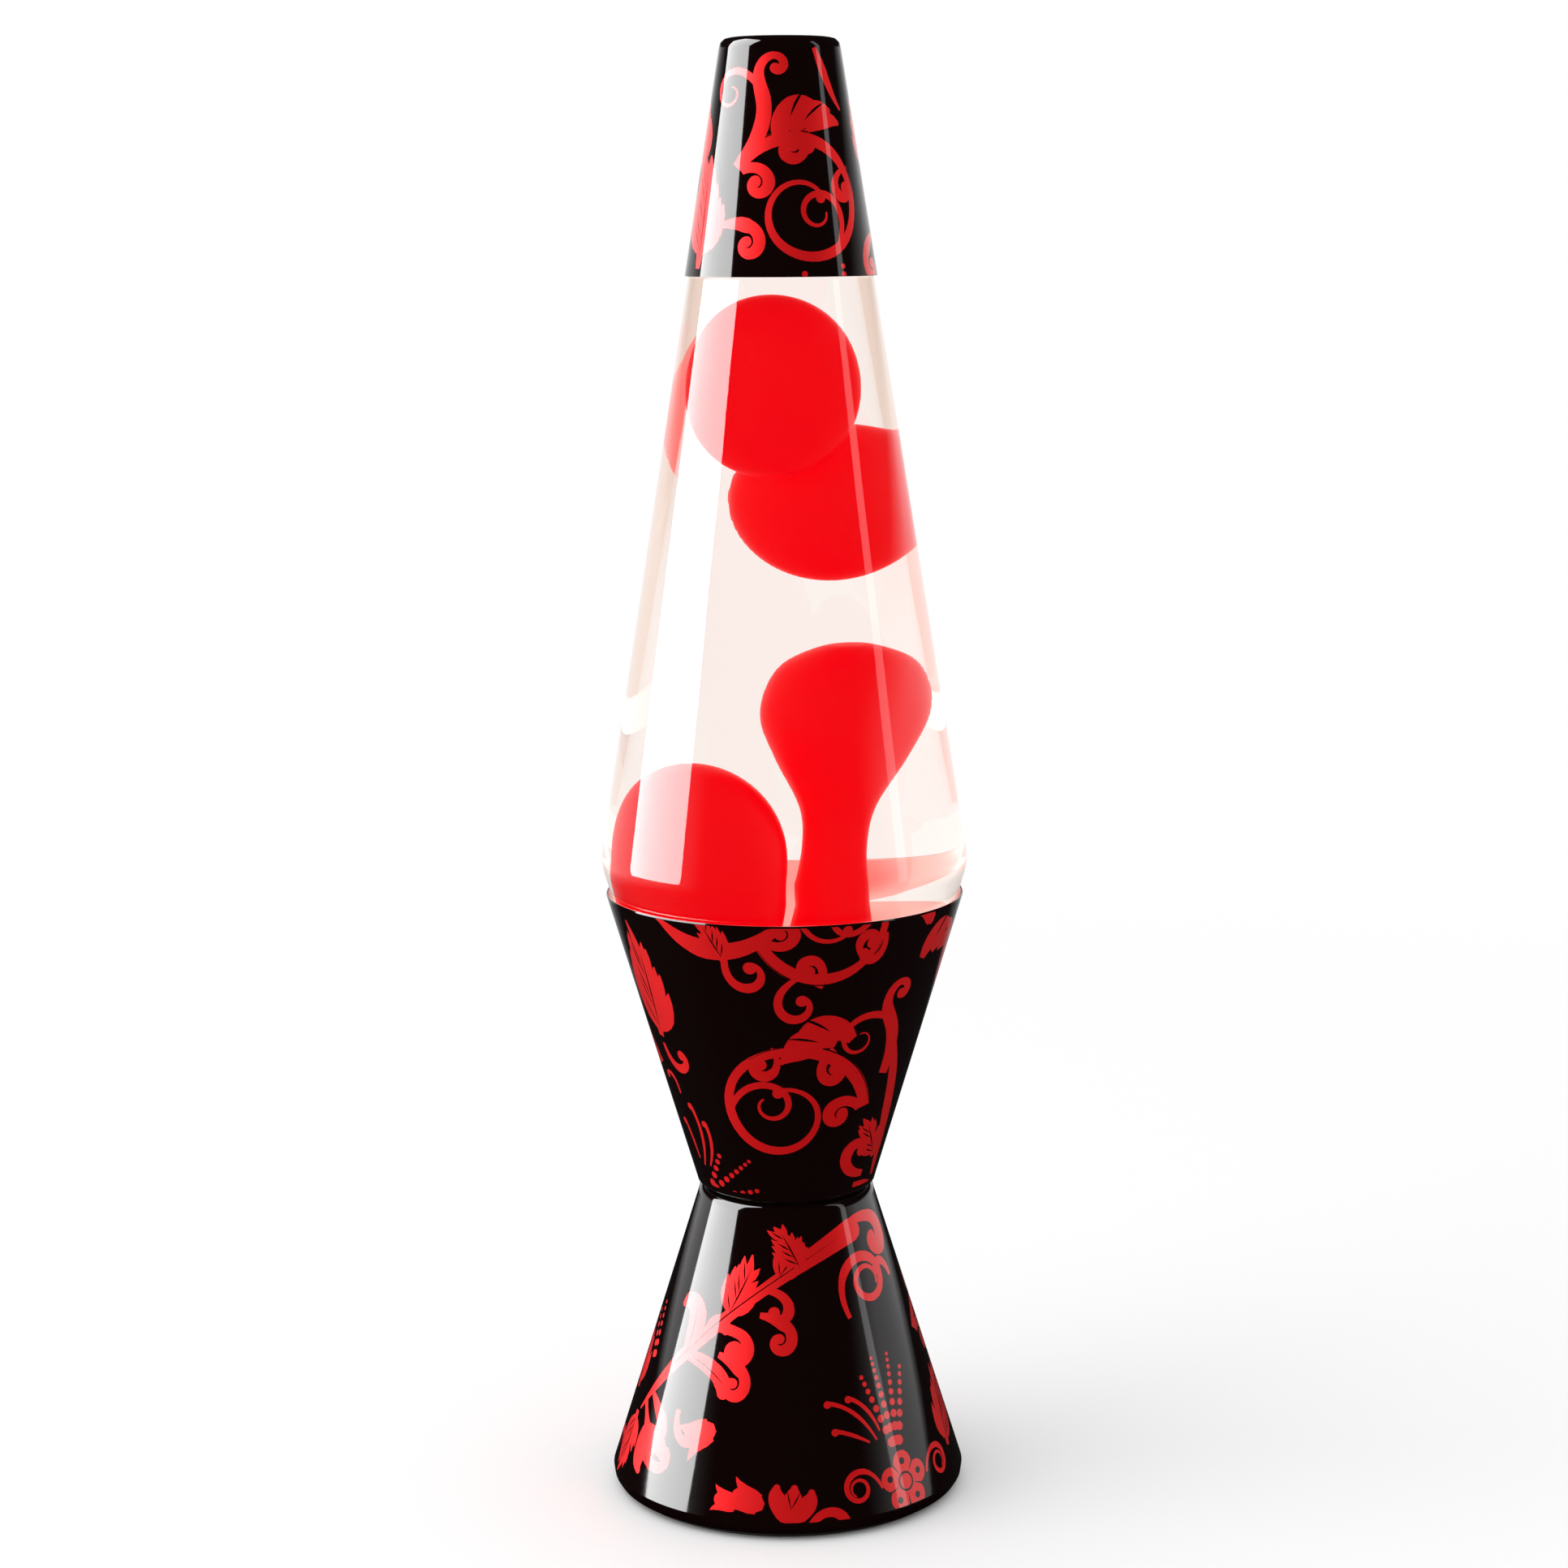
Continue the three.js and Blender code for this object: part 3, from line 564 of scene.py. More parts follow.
def bead_rows(*rows):
    """Rows of shrinking beads that spread from one place, as (lean, count)."""
    shapes = []
    for lean, count in rows:
        way = cmath.exp(1j * math.radians(90 - lean))
        place = 3.4 * way
        for i in range(count):
            size = 0.95 * 0.9 ** i
            shapes.append((True, disc(place, size)))
            place += way * 2.75 * size
    return shapes


def plume():
    """Three thin feather strokes that rise together and end in beads."""
    shapes = []
    for start, heading, length, bend in (
        ((0, 0), 52, 17, 0.075),
        ((2.4, -0.2), 44, 12.5, 0.1),
        ((-1.2, 1.8), 84, 10, 0.04),
    ):
        shapes += stroke(start, heading, [(length, bend * 0.4, bend)], (0.5, 0.8, 1.1, 1.0, 1.2), ball=0.95)
    return shapes


def blossom():
    """An open flower: five round petals, each with an eye, round a button."""
    shapes = []
    for i in range(5):
        petal = 3.3 * cmath.exp(1j * math.radians(90 + 72 * i))
        shapes += [(True, disc(petal, 2.1)), (False, disc(petal * 1.08, 0.62))]
    for i in range(5):
        way = math.radians(54 + 72 * i)
        shapes += vein((1.9 * math.cos(way), 1.9 * math.sin(way)), math.degrees(way), 3.6, 0, 0.34)
    return shapes + [(False, disc(0, 1.75)), (True, disc(0, 1.35))]


def branch():
    """A long stem with leaves on its upper side and curls, a leaf and a flower under it."""
    stem = [(46, -0.002, 0.001), (34, 0.001, -0.006)]
    points, ways = path_of((0, 0), 57, stem)
    shapes = stroke((0, 0), 57, stem, (0.6, 2.6, 3.6, 3.6, 2.8, 3.2, 4.6, 6.0))
    hooking = [(7, -0.02, -0.07), (9, -0.2, -0.38), (7, -0.4, -0.7)]
    hook = stroke((0, 0), 62, hooking, (2.6, 3, 3.6, 3.4, 2.8, 1.8), ball=1.5)
    paddle = stroke((0, 0), 54, [(11, -0.02, -0.06), (6, -0.12, -0.22)], (2.2, 3.4, 4.2, 4.4, 4.6, 3.6))
    blade = stroke((0, 0), 20, [(8, 0.03, -0.02), (10, -0.12, -0.16)], (1.0, 2.8, 4.0, 3.4, 1.6, 0.1))
    for motif, part, turn, size, mirror in (
        (folded_leaf(15, 6), 0.30, 28, 1, True),
        (curl(13, 2.2, 0.5, 1.0), 0.40, 36, 0.9, False),
        (acanthus(17, 4), 0.50, 24, 1, False),
        (acanthus(14, 3), 0.72, 20, 0.9, False),
        (hook, 0.46, -14, 1, False),
        (curl(16, 2.7, 0.56, 1.5), 0.66, -40, 1, False),
        (paddle + vein((0.4, 0.6), 48, 15, -0.05, 0.45), 0.30, -12, 1, False),
        (blade, 0.10, -22, 1, False),
        (tulip(), 0.07, -108, 1.25, False),
    ):
        k = int(part * (len(points) - 1))
        way = math.degrees(cmath.phase(ways[k])) - 90
        shapes += moved(motif, (points[k].real, points[k].imag), way + turn, size, mirror)
    return shapes + vein((1.0, 1.4), 57, 74, -0.001, 0.4)


def horn():
    """A broad scroll that swells from a narrow root and rolls into a bead."""
    bends = [(9, -0.03, -0.1), (9, -0.16, -0.3), (7, -0.32, -0.6)]
    return stroke((0, 0), 20, bends, (1.6, 3.4, 4.8, 5.0, 3.8, 2.8, 1.8), ball=1.5)


class Taper:
    """The straight side of a shell, unrolled to one flat ring that has no seam."""

    def __init__(self, low, high):
        (self.low_r, self.low_z), (self.high_r, self.high_z) = low, high
        wider, taller = self.high_r - self.low_r, self.high_z - self.low_z
        self.slope = wider / taller
        self.fan = abs(wider) / math.hypot(wider, taller)
        self.widening = math.copysign(1, self.slope)
        self.near, self.far = sorted((self.low_r / self.fan, self.high_r / self.fan))

    def flat(self, slant, turn):
        """The place on the flat ring of a point that far from the cone's tip and that far round it."""
        return (slant / self.far) ** (1 / self.fan) * cmath.exp(1j * turn)

    def printed(self, azimuth, height, p):
        """The place on the flat ring of a motif's point, in mm about its own place on the shell."""
        root = self.low_r / self.fan + self.widening * (height + p.imag) * MM
        u = complex(root, p.real * MM)
        slant = min(max(abs(u), self.near + PRINT_MARGIN), self.far - PRINT_MARGIN)
        return self.flat(slant, math.radians(azimuth - 90) + cmath.phase(u) / self.fan)

    def rolled(self, w):
        """The place on the shell of a point of the flat ring."""
        radius = abs(w) ** self.fan * self.far * self.fan
        turn = cmath.phase(w)
        height = self.low_z + (radius - self.low_r) / self.slope
        return radius * math.cos(turn), radius * math.sin(turn), height

    def carries(self, co):
        radius = math.hypot(co[0], co[1])
        on_side = abs(radius - self.low_r - self.slope * (co[2] - self.low_z)) < 0.02 * MM
        return on_side and self.low_z - 1e-5 < co[2] < self.high_z + 1e-5

    def normal(self, co):
        return Vector((*Vector(co[:2]).normalized(), -self.slope)).normalized()


def is_red(places, shapes):
    """Which of these places the print covers. A later shape lies over an earlier one."""
    red = np.zeros(len(places), bool)
    for ink, outline in shapes:
        ring = np.array(outline)
        inside = (places.real > ring.real.min()) & (places.real < ring.real.max())
        inside &= (places.imag > ring.imag.min()) & (places.imag < ring.imag.max())
        near = np.nonzero(inside)[0]
        if near.size:
            ways = ring[None, :] - places[near, None]
            turns = np.angle(np.roll(ways, -1, axis=1) / ways).sum(axis=1) / WHOLE_TURN
            red[near[np.abs(turns) > 0.5]] = ink
    return red


def printed_side(bm, taper, motifs):
    """Adds the shell's straight side to the mesh, with every motif's outline as real edges."""
    shapes = []
    for motif, azimuth, height, turn, size, mirror in motifs:
        for ink, outline in moved(motif, turn=turn, size=size, mirror=mirror):
            shapes.append((ink, [taper.printed(azimuth, height, p) for p in outline]))
    ring = [WHOLE_TURN * k / PRINT_STEPS for k in range(PRINT_STEPS)]
    rows = round((taper.far - taper.near) / PRINT_ROW)
    places = []
    for row in range(rows + 1):
        slant = taper.near + (taper.far - taper.near) * row / rows
        places += [taper.flat(slant, turn) for turn in ring]
    rims = [[start + k for k in range(PRINT_STEPS)] for start in (0, len(places) - PRINT_STEPS)]
    for ink, outline in shapes:
        rims.append(range(len(places), len(places) + len(outline)))
        places += outline
    edges = [pair for rim in rims for pair in zip(rim, [*rim[1:], rim[0]])]
    flat, _, corners, *_ = delaunay_2d_cdt([Vector((w.real, w.imag)) for w in places], edges, [], 0, 1e-7)
    flat = [complex(*v) for v in flat]
    hole = abs(places[0]) * (1 + 1e-5)
    corners = [c for c in corners if max(abs(flat[i]) for i in c) > hole]
    red = is_red(np.array([sum(flat[i] for i in c) / 3 for c in corners]), shapes)
    verts = [bm.verts.new(taper.rolled(w)) for w in flat]
    for c, ink in zip(corners, red):
        bm.faces.new([verts[i] for i in c]).material_index = RED if ink else BLACK
    loose = [v for v in verts if not v.link_faces]
    bmesh.ops.delete(bm, geom=loose, context="VERTS")


def printed_shell(name, node, motifs, inside_faces, hole=None):
    """A shell with its print: the CAD outline spun all round, but for its side, which carries the motifs."""
    points, closed = outline_of(node)
    count = len(points)

    def span(i):
        return (Vector(points[i]) - Vector(points[(i + 1) % count])).length + points[i][0]

    side = max(range(count if closed else count - 1), key=span)
    low, high = sorted((points[side], points[(side + 1) % count]), key=lambda p: p[1])
    taper = Taper(low, high)
    bm = bmesh.new()
    printed_side(bm, taper, motifs)
    printed = set(bm.faces)
    if closed:
        spun(bm, [points[(side + 1 + k) % count] for k in range(count)], False, PRINT_STEPS)
    else:
        spun(bm, points[:side + 1], False, PRINT_STEPS)
        spun(bm, points[side + 1:], False, PRINT_STEPS)
    bmesh.ops.remove_doubles(bm, verts=bm.verts, dist=1e-6)
    bmesh.ops.recalc_face_normals(bm, faces=bm.faces)
    for face in bm.faces:
        if face.material_index == BLACK and not taper.carries(face.calc_center_median()):
            centre = face.calc_center_median()
            outwards = face.normal.x * centre.x + face.normal.y * centre.y
            inwards = outwards < -0.2 * math.hypot(centre.x, centre.y)
            if inwards or face.normal.z * inside_faces > 0.9:
                face.material_index = BARE
    piece = piece_of(name, bm)
    if hole:
        drilled(piece, *hole)
    mesh = piece.data
    normals = [Vector((0, 0, 0))] * len(mesh.loops)
    for face in mesh.polygons:
        if all(taper.carries(mesh.vertices[v].co) for v in face.vertices):
            for loop in face.loop_indices:
                normals[loop] = taper.normal(mesh.vertices[mesh.loops[loop].vertex_index].co)
    mesh.normals_split_custom_set(normals)
    return piece


def cut_away(piece, cutter):
    """Cuts one piece out of another, and removes it from the scene."""
    cut = piece.modifiers.new("cut", "BOOLEAN")
    cut.operation, cut.object, cut.solver = "DIFFERENCE", cutter, "EXACT"
    applied(piece)
    bpy.data.objects.remove(cutter)


def drilled(piece, radius, start, end):
    """Cuts a round hole through a piece, between two points."""
    bm = bmesh.new()
    way = Vector(end) - Vector(start)
    bmesh.ops.create_cone(bm, cap_ends=True, segments=32, radius1=radius, radius2=radius, depth=way.length)
    aim = way.to_track_quat("Z", "Y").to_matrix().to_4x4()
    place = Matrix.Translation((Vector(start) + Vector(end)) / 2) @ aim
    bmesh.ops.transform(bm, matrix=place, verts=bm.verts)
    cut_away(piece, piece_of("drill", bm))


def black_enamel():
    material, place, plug = new_finish("black_enamel", Base_Color=(0.004, 0.0012, 0.0012, 1), IOR=1.5)
    plug("Roughness", place.noise(300, 2) * 0.05 + 0.03)
    plug("Normal", place.noise(900, 2).bump(0.035, 0.05 * MM))
    return material


def red_lacquer():
    material, place, plug = new_finish(
        "red_lacquer", Base_Color=(0.9, 0, 0.002, 1), Metallic=0.55, Coat_Weight=1, Coat_Roughness=0.03
    )
    plug("Roughness", place.noise(120, 3) * 0.08 + 0.42)
    return material


def bare_aluminium(name, colour):
    material, place, plug = new_finish(name, Base_Color=colour, Metallic=1)
    plug("Roughness", place.noise(90, 3) * 0.2 + 0.22)
    return material


enamel, lacquer = black_enamel(), red_lacquer()
aluminium = bare_aluminium("bare_aluminium", (0.86, 0.86, 0.87, 1))


def finished_shell(piece, body, node, inside=aluminium):
    for material in (enamel, lacquer, inside):
        piece.data.materials.append(material)
    finished(piece, None, body, node)


# ---------------------------------------------------------------- cap
# The cap is a closed cone of spun aluminium that drops over the bottle's neck and lifts straight off. Each
# motif below is followed by its azimuth from the front, its height up the side in mm, its turn, its size and
# its mirroring.

CAP_PRINT = (
    (ring_scroll(), 11.3, 21.0, 0, 1, False),
    (swaying_stem(20), -30, 27.5, 2, 0.84, False),
    (tuft(), 13, 35.5, 10, 0.86, False),
    (curl(8, 1.9, 0.62, 1.3), 14, 35, 170, 0.9, True),
    (hooked_leaf(), -40, 12.5, 0, 0.95, False),
    (acanthus(26, 5), -60, 2, -2, 1.15, False),
    (acanthus(17, 4), -76, 26, 10, 1.1, False),
    (curl(13, 2.4, 0.55, 1.3), -66, 34, 20, 0.9, True),
    (stroke((0, 0), -68, [(16, -0.02, 0.06)], (1.2, 2.4, 1.9, 0.8)), 33, 55, 0, 1, False),
    (bead_rows((0, 2)), 40, -2, 0, 0.75, False),
    (bead_rows((0, 1)), 14, -2, 0, 0.8, False),
    (ring_scroll(), 128, 22, -8, 0.95, True),
    (swaying_stem(10), 160, 30, 0, 0.9, True),
    (tuft(), 140, 34, 10, 0.8, True),
    (hooked_leaf(), 82, 10, 30, 0.95, True),
    (acanthus(20, 4), 92, 26, 10, 1.0, True),
    (ring_scroll(), -130, 25, 160, 0.92, False),
    (acanthus(20, 4), -92, 4, 24, 1.1, True),
    (plume(), -170, 4, 0, 1.0, False),
    (curl(14, 2.4, 0.5, 1.4), -112, 6, -30, 1.1, False),
    (bell(1.2), 176, 46, 160, 1.0, False),
)
cap = printed_shell("printed_cap", "top_cap", CAP_PRINT, -1)
finished_shell(cap, "cap", "top_cap")


# ---------------------------------------------------------------- upper cone
# The upper cone is the cup that the bottle stands in. It is spun from aluminium like the cap, with a rolled
# rim and a rounded waist, where it is clamped to the lower cone.

CUP_BRANCH = [(22, 0.03, 0.05), (14, 0.05, 0.02)]
CUP_PRINT = (
    (ring_scroll(), 8, 27.8, -38, 1.1, True),
    (swaying_stem(15), 48, 33, 30, 0.95, False),
    (tuft(), 18, 44, 24, 0.95, True),
    (stroke((0, 0), 96, [(40, 0.0, 0.02)], (1.4, 3.8, 4.6, 3.8, 2.4)), 66, 2, 0, 1, False),
    (acanthus(15, 4), 60, 8, 30, 1.0, False),
    (curl(17, 3.0, 0.46, 1.6), 52, 4, 84, 1.15, False),
    (hooked_leaf(), 46, 1, -20, 0.9, False),
    (ring_scroll(), 12, 75, 168, 1.0, True),
    (stroke((0, 0), -48, CUP_BRANCH, (1.0, 3.6, 5.4, 4.6, 3.8, 2.8)), -44, 78, 0, 1, False),
    (acanthus(13, 4), -20, 67, 30, 1, True),
    (curl(20, 2.0, 0.42, 1.4), -19, 71, 158, 1.2, True),
    (curl(22, 2.1, 0.38, 1.4), 4, 63, 124, 1.1, True),
    (curl(12, 1.9, 0.5, 1.2), 34, 74, -170, 1.1, False),
    (acanthus(22, 5), -62, 42, -8, 1.45, False),
    (curl(14, 2.2, 0.5, 1.3), -62, 40, 190, 1.1, True),
    (plume(), -56, 6, 12, 1.05, False),
    (curl(9, 1.2, 0.5, 0.9), -60, 26, 0, 1.0, True),
    (bead_rows((34, 5), (58, 8), (84, 6)), -58, -2, 0, 1.15, False),
    (tuft(), 62, 66, 0, 0.9, False),
    (bell(1.1), 55, 74, 40, 0.9, False),
    (ring_scroll(), 118, 42, 10, 1.15, False),
    (swaying_stem(14), 88, 50, 10, 1.0, True),
    (tuft(), 116, 56, 0, 0.95, False),
    (acanthus(18, 4), 152, 20, -10, 1.2, False),
    (curl(20, 2.2, 0.42, 1.5), 150, 60, 120, 1.1, True),
    (branch(), 178, 14, -16, 0.72, False),
    (plume(), 120, 4, 0, 1.0, True),
    (bead_rows((-24, 6), (0, 8), (24, 6)), 100, 0, 0, 1.1, False),
    (ring_scroll(), -104, 34, -30, 1.1, True),
    (tuft(), -92, 52, 10, 0.9, True),
    (curl(20, 2.2, 0.42, 1.5), -118, 68, 60, 1.1, False),
    (bell(1.5), -150, 60, 150, 1.0, False),
)
# The inside is bare metal. It is tinted pink here, a painted reflection that stands in for the glow of the
# wax that it mirrors.
pink_painted_reflection = bare_aluminium("aluminium_with_painted_pink_reflection", (0.95, 0.5, 0.48, 1))
cup = printed_shell("printed_cup", "upper_cone", CUP_PRINT, 1)
finished_shell(cup, "base", "upper_cone", pink_painted_reflection)


# ---------------------------------------------------------------- lower cone
# The lower cone is the foot. Its bottom edge is turned in over the base plate, and the cord comes in through
# a round hole low at the back.

FOOT_PRINT = (
    (branch(), -72, 19, 0, 1, False),
    (tendril(8.8, 2.3, 1.5), 31, 49, 20, 1.05, False),
    (horn(), 38, 72, 0, 1.05, False),
    (hooked_leaf(), -13, 51, -18, 0.9, False),
    (hooked_leaf(), -31, 40, -24, 0.95, False),
    (bell(1.7), -28, 22, 120, 1.0, False),
    (curl(16, 2.4, 0.42, 1.4), -46, 24, 176, 1.0, True),
    (acanthus(13, 4), 8, 62, 24, 1.0, False),
    (curl(10, 2.2, 0.5, 1.2), 66, 56, 10, 1.0, True),
    (bead_rows((-16, 8), (-5, 10), (7, 10), (18, 8)), 42, 12, 0, 1.35, False),
    (blossom(), 43, 6, 0, 1.45, False),
    (tendril(5, 1.3, 1.5), 33, 6, 20, 1.1, True),
    (tendril(5, 1.3, 1.5), 54, 6, -20, 1.1, False),
    (plume(), 34, 18, 62, 1.0, False),
    (bell(1.2), -16, 4, 80, 1, False),
    (bell(1.5), -8, 4, 70, 1, False),
    (tulip(), -1, -6, -8, 1.05, False),
    (curl(20, 2.4, 0.3, 1.3), 6, -2, -30, 1.0, False),
    (acanthus(18, 4), -84, 22, 14, 1.2, False),
    (acanthus(16, 4), -74, 18, 178, 1.1, True),
    (curl(14, 2.2, 0.45, 1.3), -60, 14, 200, 1.2, True),
    (bead_rows((-14, 6), (0, 7)), -72, 30, 14, 1.1, False),
    (curl(14, 2.2, 0.45, 1.3), -80, 4, 10, 1.0, True),
    (acanthus(20, 4), 74, 8, -16, 1.2, True),
    (ring_scroll(), 104, 34, 0, 1.1, False),
    (tuft(), 100, 50, 0, 1.0, False),
    (branch(), 172, 8, 12, 0.78, True),
    (plume(), 128, 8, -20, 1.1, True),
    (blossom(), 152, 8, 10, 1.3, False),
    (curl(20, 2.4, 0.42, 1.5), 150, 56, 150, 1.0, False),
    (ring_scroll(), -140, 30, 60, 1.1, True),
    (tuft(), -122, 44, 10, 1.0, True),
    (bead_rows((-20, 7), (0, 9), (20, 7)), -108, 30, 0, 1.2, False),
    (tulip(), -112, 8, 20, 1.3, False),
)
INLET_RADIUS = 4.6 * MM
INLET_UP = 16
cord_inlet = (INLET_RADIUS, (0, 30 * MM, INLET_UP * MM), (0, 50 * MM, INLET_UP * MM))
foot = printed_shell("printed_foot", "lower_cone", FOOT_PRINT, 0, cord_inlet)
finished_shell(foot, "base", "lower_cone")


# ---------------------------------------------------------------- crown closure and its liner
# The bottle is closed for good by a tinned steel crown, crimped under its lip with 21 flutes. A soft disc
# inside the crown seals it.

FLUTES = 21
CROWN_SKIRT = (346.4, 351)


def metal(name, colour, roughness, scale, scratch=0.02):
    """A metal whose gloss varies in patches, with fine marks from its making."""
    material, place, plug = new_finish(name, Base_Color=(*colour, 1), Metallic=1)
    plug("Roughness", place.noise(scale, 3) * 0.22 + (roughness - 0.11))
    plug("Normal", place.noise(scale * 12, 2).bump(0.2, scratch * MM))
    return material


def matt(name, colour, roughness, scale, grain=0.05, **constants):
    """A plastic, rubber or ceramic surface with a fine grain."""
    material, place, plug = new_finish(name, **constants)
    dark = tuple(c * 0.88 for c in colour)
    plug("Base Color", place.noise(scale, 3).blend((*dark, 1), (*colour, 1)))
    plug("Roughness", place.noise(scale * 2, 2) * 0.2 + (roughness - 0.1))
    plug("Normal", place.noise(scale * 15, 2).bump(0.25, grain * MM))
    return material


tinned_steel = metal("tinned_steel", (0.72, 0.73, 0.74), 0.28, 90)
liner_disc = matt("closure_liner", (0.66, 0.62, 0.54), 0.7, 120)

crown = [
    (0, 351.8), (11.2, 351.8), (12.4, 351.3), (13.2, 350.2), (13.45, 349), (13.6, 347.5), (14.1, 345.5),
    (14.4, 345.45), (13.9, 347.5), (13.75, 349), (13.6, 350.4), (12.9, 351.5), (11.9, 352.1), (0, 352.1),
]
bm = bmesh.new()
spun(bm, in_mm(crown), False, FLUTES * 8)
for v in bm.verts:
    low = min(max((CROWN_SKIRT[1] * MM - v.co.z) / ((CROWN_SKIRT[1] - CROWN_SKIRT[0]) * MM), 0), 1)
    scale = 1 + 0.02 * low * math.cos(FLUTES * math.atan2(v.co.y, v.co.x))
    v.co.x, v.co.y = v.co.x * scale, v.co.y * scale
finished(piece_of("crown", bm), tinned_steel, "globe", "crown_closure")
liner = [(0, 350.5), (10.6, 350.5), (11, 350.8), (11, 351.4), (10.7, 351.7), (0, 351.7)]
liner = turned("crown_liner_disc", in_mm(liner), steps=64)
finished(liner, liner_disc, "globe", "crown_liner")


# ---------------------------------------------------------------- heating coil
# A ring of coiled spring wire lies on the bottle's floor, deep in the wax. It spreads the bulb's heat through
# the wax, and its weight breaks cold wax off the glass.

COIL_RING, COIL_WIND, COIL_WIRE = 21 * MM, 1.95 * MM, 0.4 * MM
COIL_HEIGHT = 118 * MM
COIL_TURNS, COIL_STEPS = 62, 10


def wire(name, points, radius, sides=6, closed=False):
    """A round wire along a line of points."""
    curve = bpy.data.curves.new(name, "CURVE")
    curve.dimensions = "3D"
    line = curve.splines.new("POLY")
    line.points.add(len(points) - 1)
    for point, co in zip(line.points, points):
        point.co = (*co, 1)
    line.use_cyclic_u = closed
    curve.bevel_depth, curve.bevel_resolution = radius, max(0, sides // 2 - 2)
    curve.use_fill_caps = not closed
    shape = bpy.data.objects.new(name, curve)
    bpy.context.scene.collection.objects.link(shape)
    mesh = bpy.data.meshes.new_from_object(shape.evaluated_get(bpy.context.evaluated_depsgraph_get()))
    bpy.data.objects.remove(shape)
    bm = bmesh.new()
    bm.from_mesh(mesh)
    return piece_of(name, bm, math.radians(50))


coil = []
for i in range(COIL_TURNS * COIL_STEPS):
    round_ring, round_wire = WHOLE_TURN * i / (COIL_TURNS * COIL_STEPS), WHOLE_TURN * i / COIL_STEPS
    r, z = COIL_RING + COIL_WIND * math.cos(round_wire), COIL_HEIGHT + COIL_WIND * math.sin(round_wire)
    coil.append((r * math.cos(round_ring), r * math.sin(round_ring), z))
spring = wire("spring_ring", coil, COIL_WIRE, closed=True)
finished(spring, metal("coil_wire", (0.6, 0.6, 0.6), 0.35, 200), "globe", "heating_coil")


# ---------------------------------------------------------------- waist collar and its ring nut
# A flanged brass tube passes down through the two cones, and a slotted ring nut screws up its thread and
# clamps the seam at the waist.

brass = metal("brass", (0.78, 0.56, 0.25), 0.3, 110)
THREAD = 1 * MM


def stepped(points, low, high, step, closed=True):
    """The outline with extra points on its steep steps between two heights."""
    line = []
    for (r, z), (next_r, next_z) in zip(points, [*points[1:], points[0]] if closed else points[1:]):
        line.append((r, z))
        parts = math.ceil(abs(next_z - z) / step) if low <= (z + next_z) / 2 <= high else 1
        line += [(r + (next_r - r) * k / parts, z + (next_z - z) * k / parts) for k in range(1, parts)]
    return line if closed else [*line, points[-1]]


def threaded(bm, low, high, pitch, depth, least=0):
    """Cuts a helical thread into what stands outside a radius, between two heights."""
    for v in bm.verts:
        radius = math.hypot(v.co.x, v.co.y)
        if radius > least and low < v.co.z < high:
            turn = math.atan2(v.co.y, v.co.x)
            fade = min((v.co.z - low) / pitch, (high - v.co.z) / pitch, 1)
            scale = 1 - depth * fade * (0.5 - 0.5 * math.cos(WHOLE_TURN * v.co.z / pitch - turn)) / radius
            v.co.x, v.co.y = v.co.x * scale, v.co.y * scale


bm = bmesh.new()
spun(bm, stepped(outline_of("waist_collar")[0], 72 * MM, 80 * MM, 0.25 * MM), True, 96)
threaded(bm, 73 * MM, 79 * MM, THREAD, 0.25 * MM, least=19.2 * MM)
finished(piece_of("collar_tube", bm), brass, "base", "waist_collar")

ring_nut = turned("ring_nut", *outline_of("waist_nut"), steps=96)
bm = bmesh.new()
bm.from_mesh(ring_nut.data)
rim = [f for f in bm.faces if f.normal.xy.dot(f.calc_center_median().xy) > 0]
rim.sort(key=lambda f: math.atan2(*f.calc_center_median().yx))
bmesh.ops.inset_individual(bm, faces=rim[::8], thickness=0.1 * MM, depth=-0.5 * MM)
bm.to_mesh(ring_nut.data)
bm.free()
finished(ring_nut, brass, "base", "waist_nut")


# ---------------------------------------------------------------- base plate, foot ring and grommet
# A moulded plate closes the foot from below, with ribs under it and a raised middle that holds the stem. A
# rubber ring stands the lamp on the table, and a rubber grommet lines the hole for the cord.

black_plastic = matt("black_plastic", (0.014, 0.014, 0.015), 0.5, 200)
foot_rubber = matt("foot_rubber", (0.02, 0.02, 0.02), 0.8, 150, 0.08)

plate = turned("moulded_plate", *outline_of("base_plate"), steps=128)
bm = bmesh.new()
bm.from_mesh(plate.data)
RIBS = 12
rib_place = Matrix.Translation((29.4 * MM, 0, 4.1 * MM))
rib_size = Matrix.Diagonal((22 * MM, 1.2 * MM, 2.4 * MM, 1))
for i in range(RIBS):
    rib = bmesh.ops.create_cube(bm, size=1)["verts"]
    turn = Matrix.Rotation(WHOLE_TURN * (i + 0.5) / RIBS, 4, "Z")
    bmesh.ops.transform(bm, matrix=turn @ rib_place @ rib_size, verts=rib)
bm.to_mesh(plate.data)
bm.free()
finished(plate, black_plastic, "base", "base_plate")

ring = [
    (37.5, 1.2), (37.5, 0.4), (37.9, 0), (39.5, 0), (39.8, 0.35),
    (40.2, 0.35), (40.5, 0), (42, 0), (42.4, 0.4), (42.4, 1.2),
]
foot_ring = turned("foot_ring_rubber", in_mm(ring), True, 128)
finished(foot_ring, foot_rubber, "base", "foot_ring")

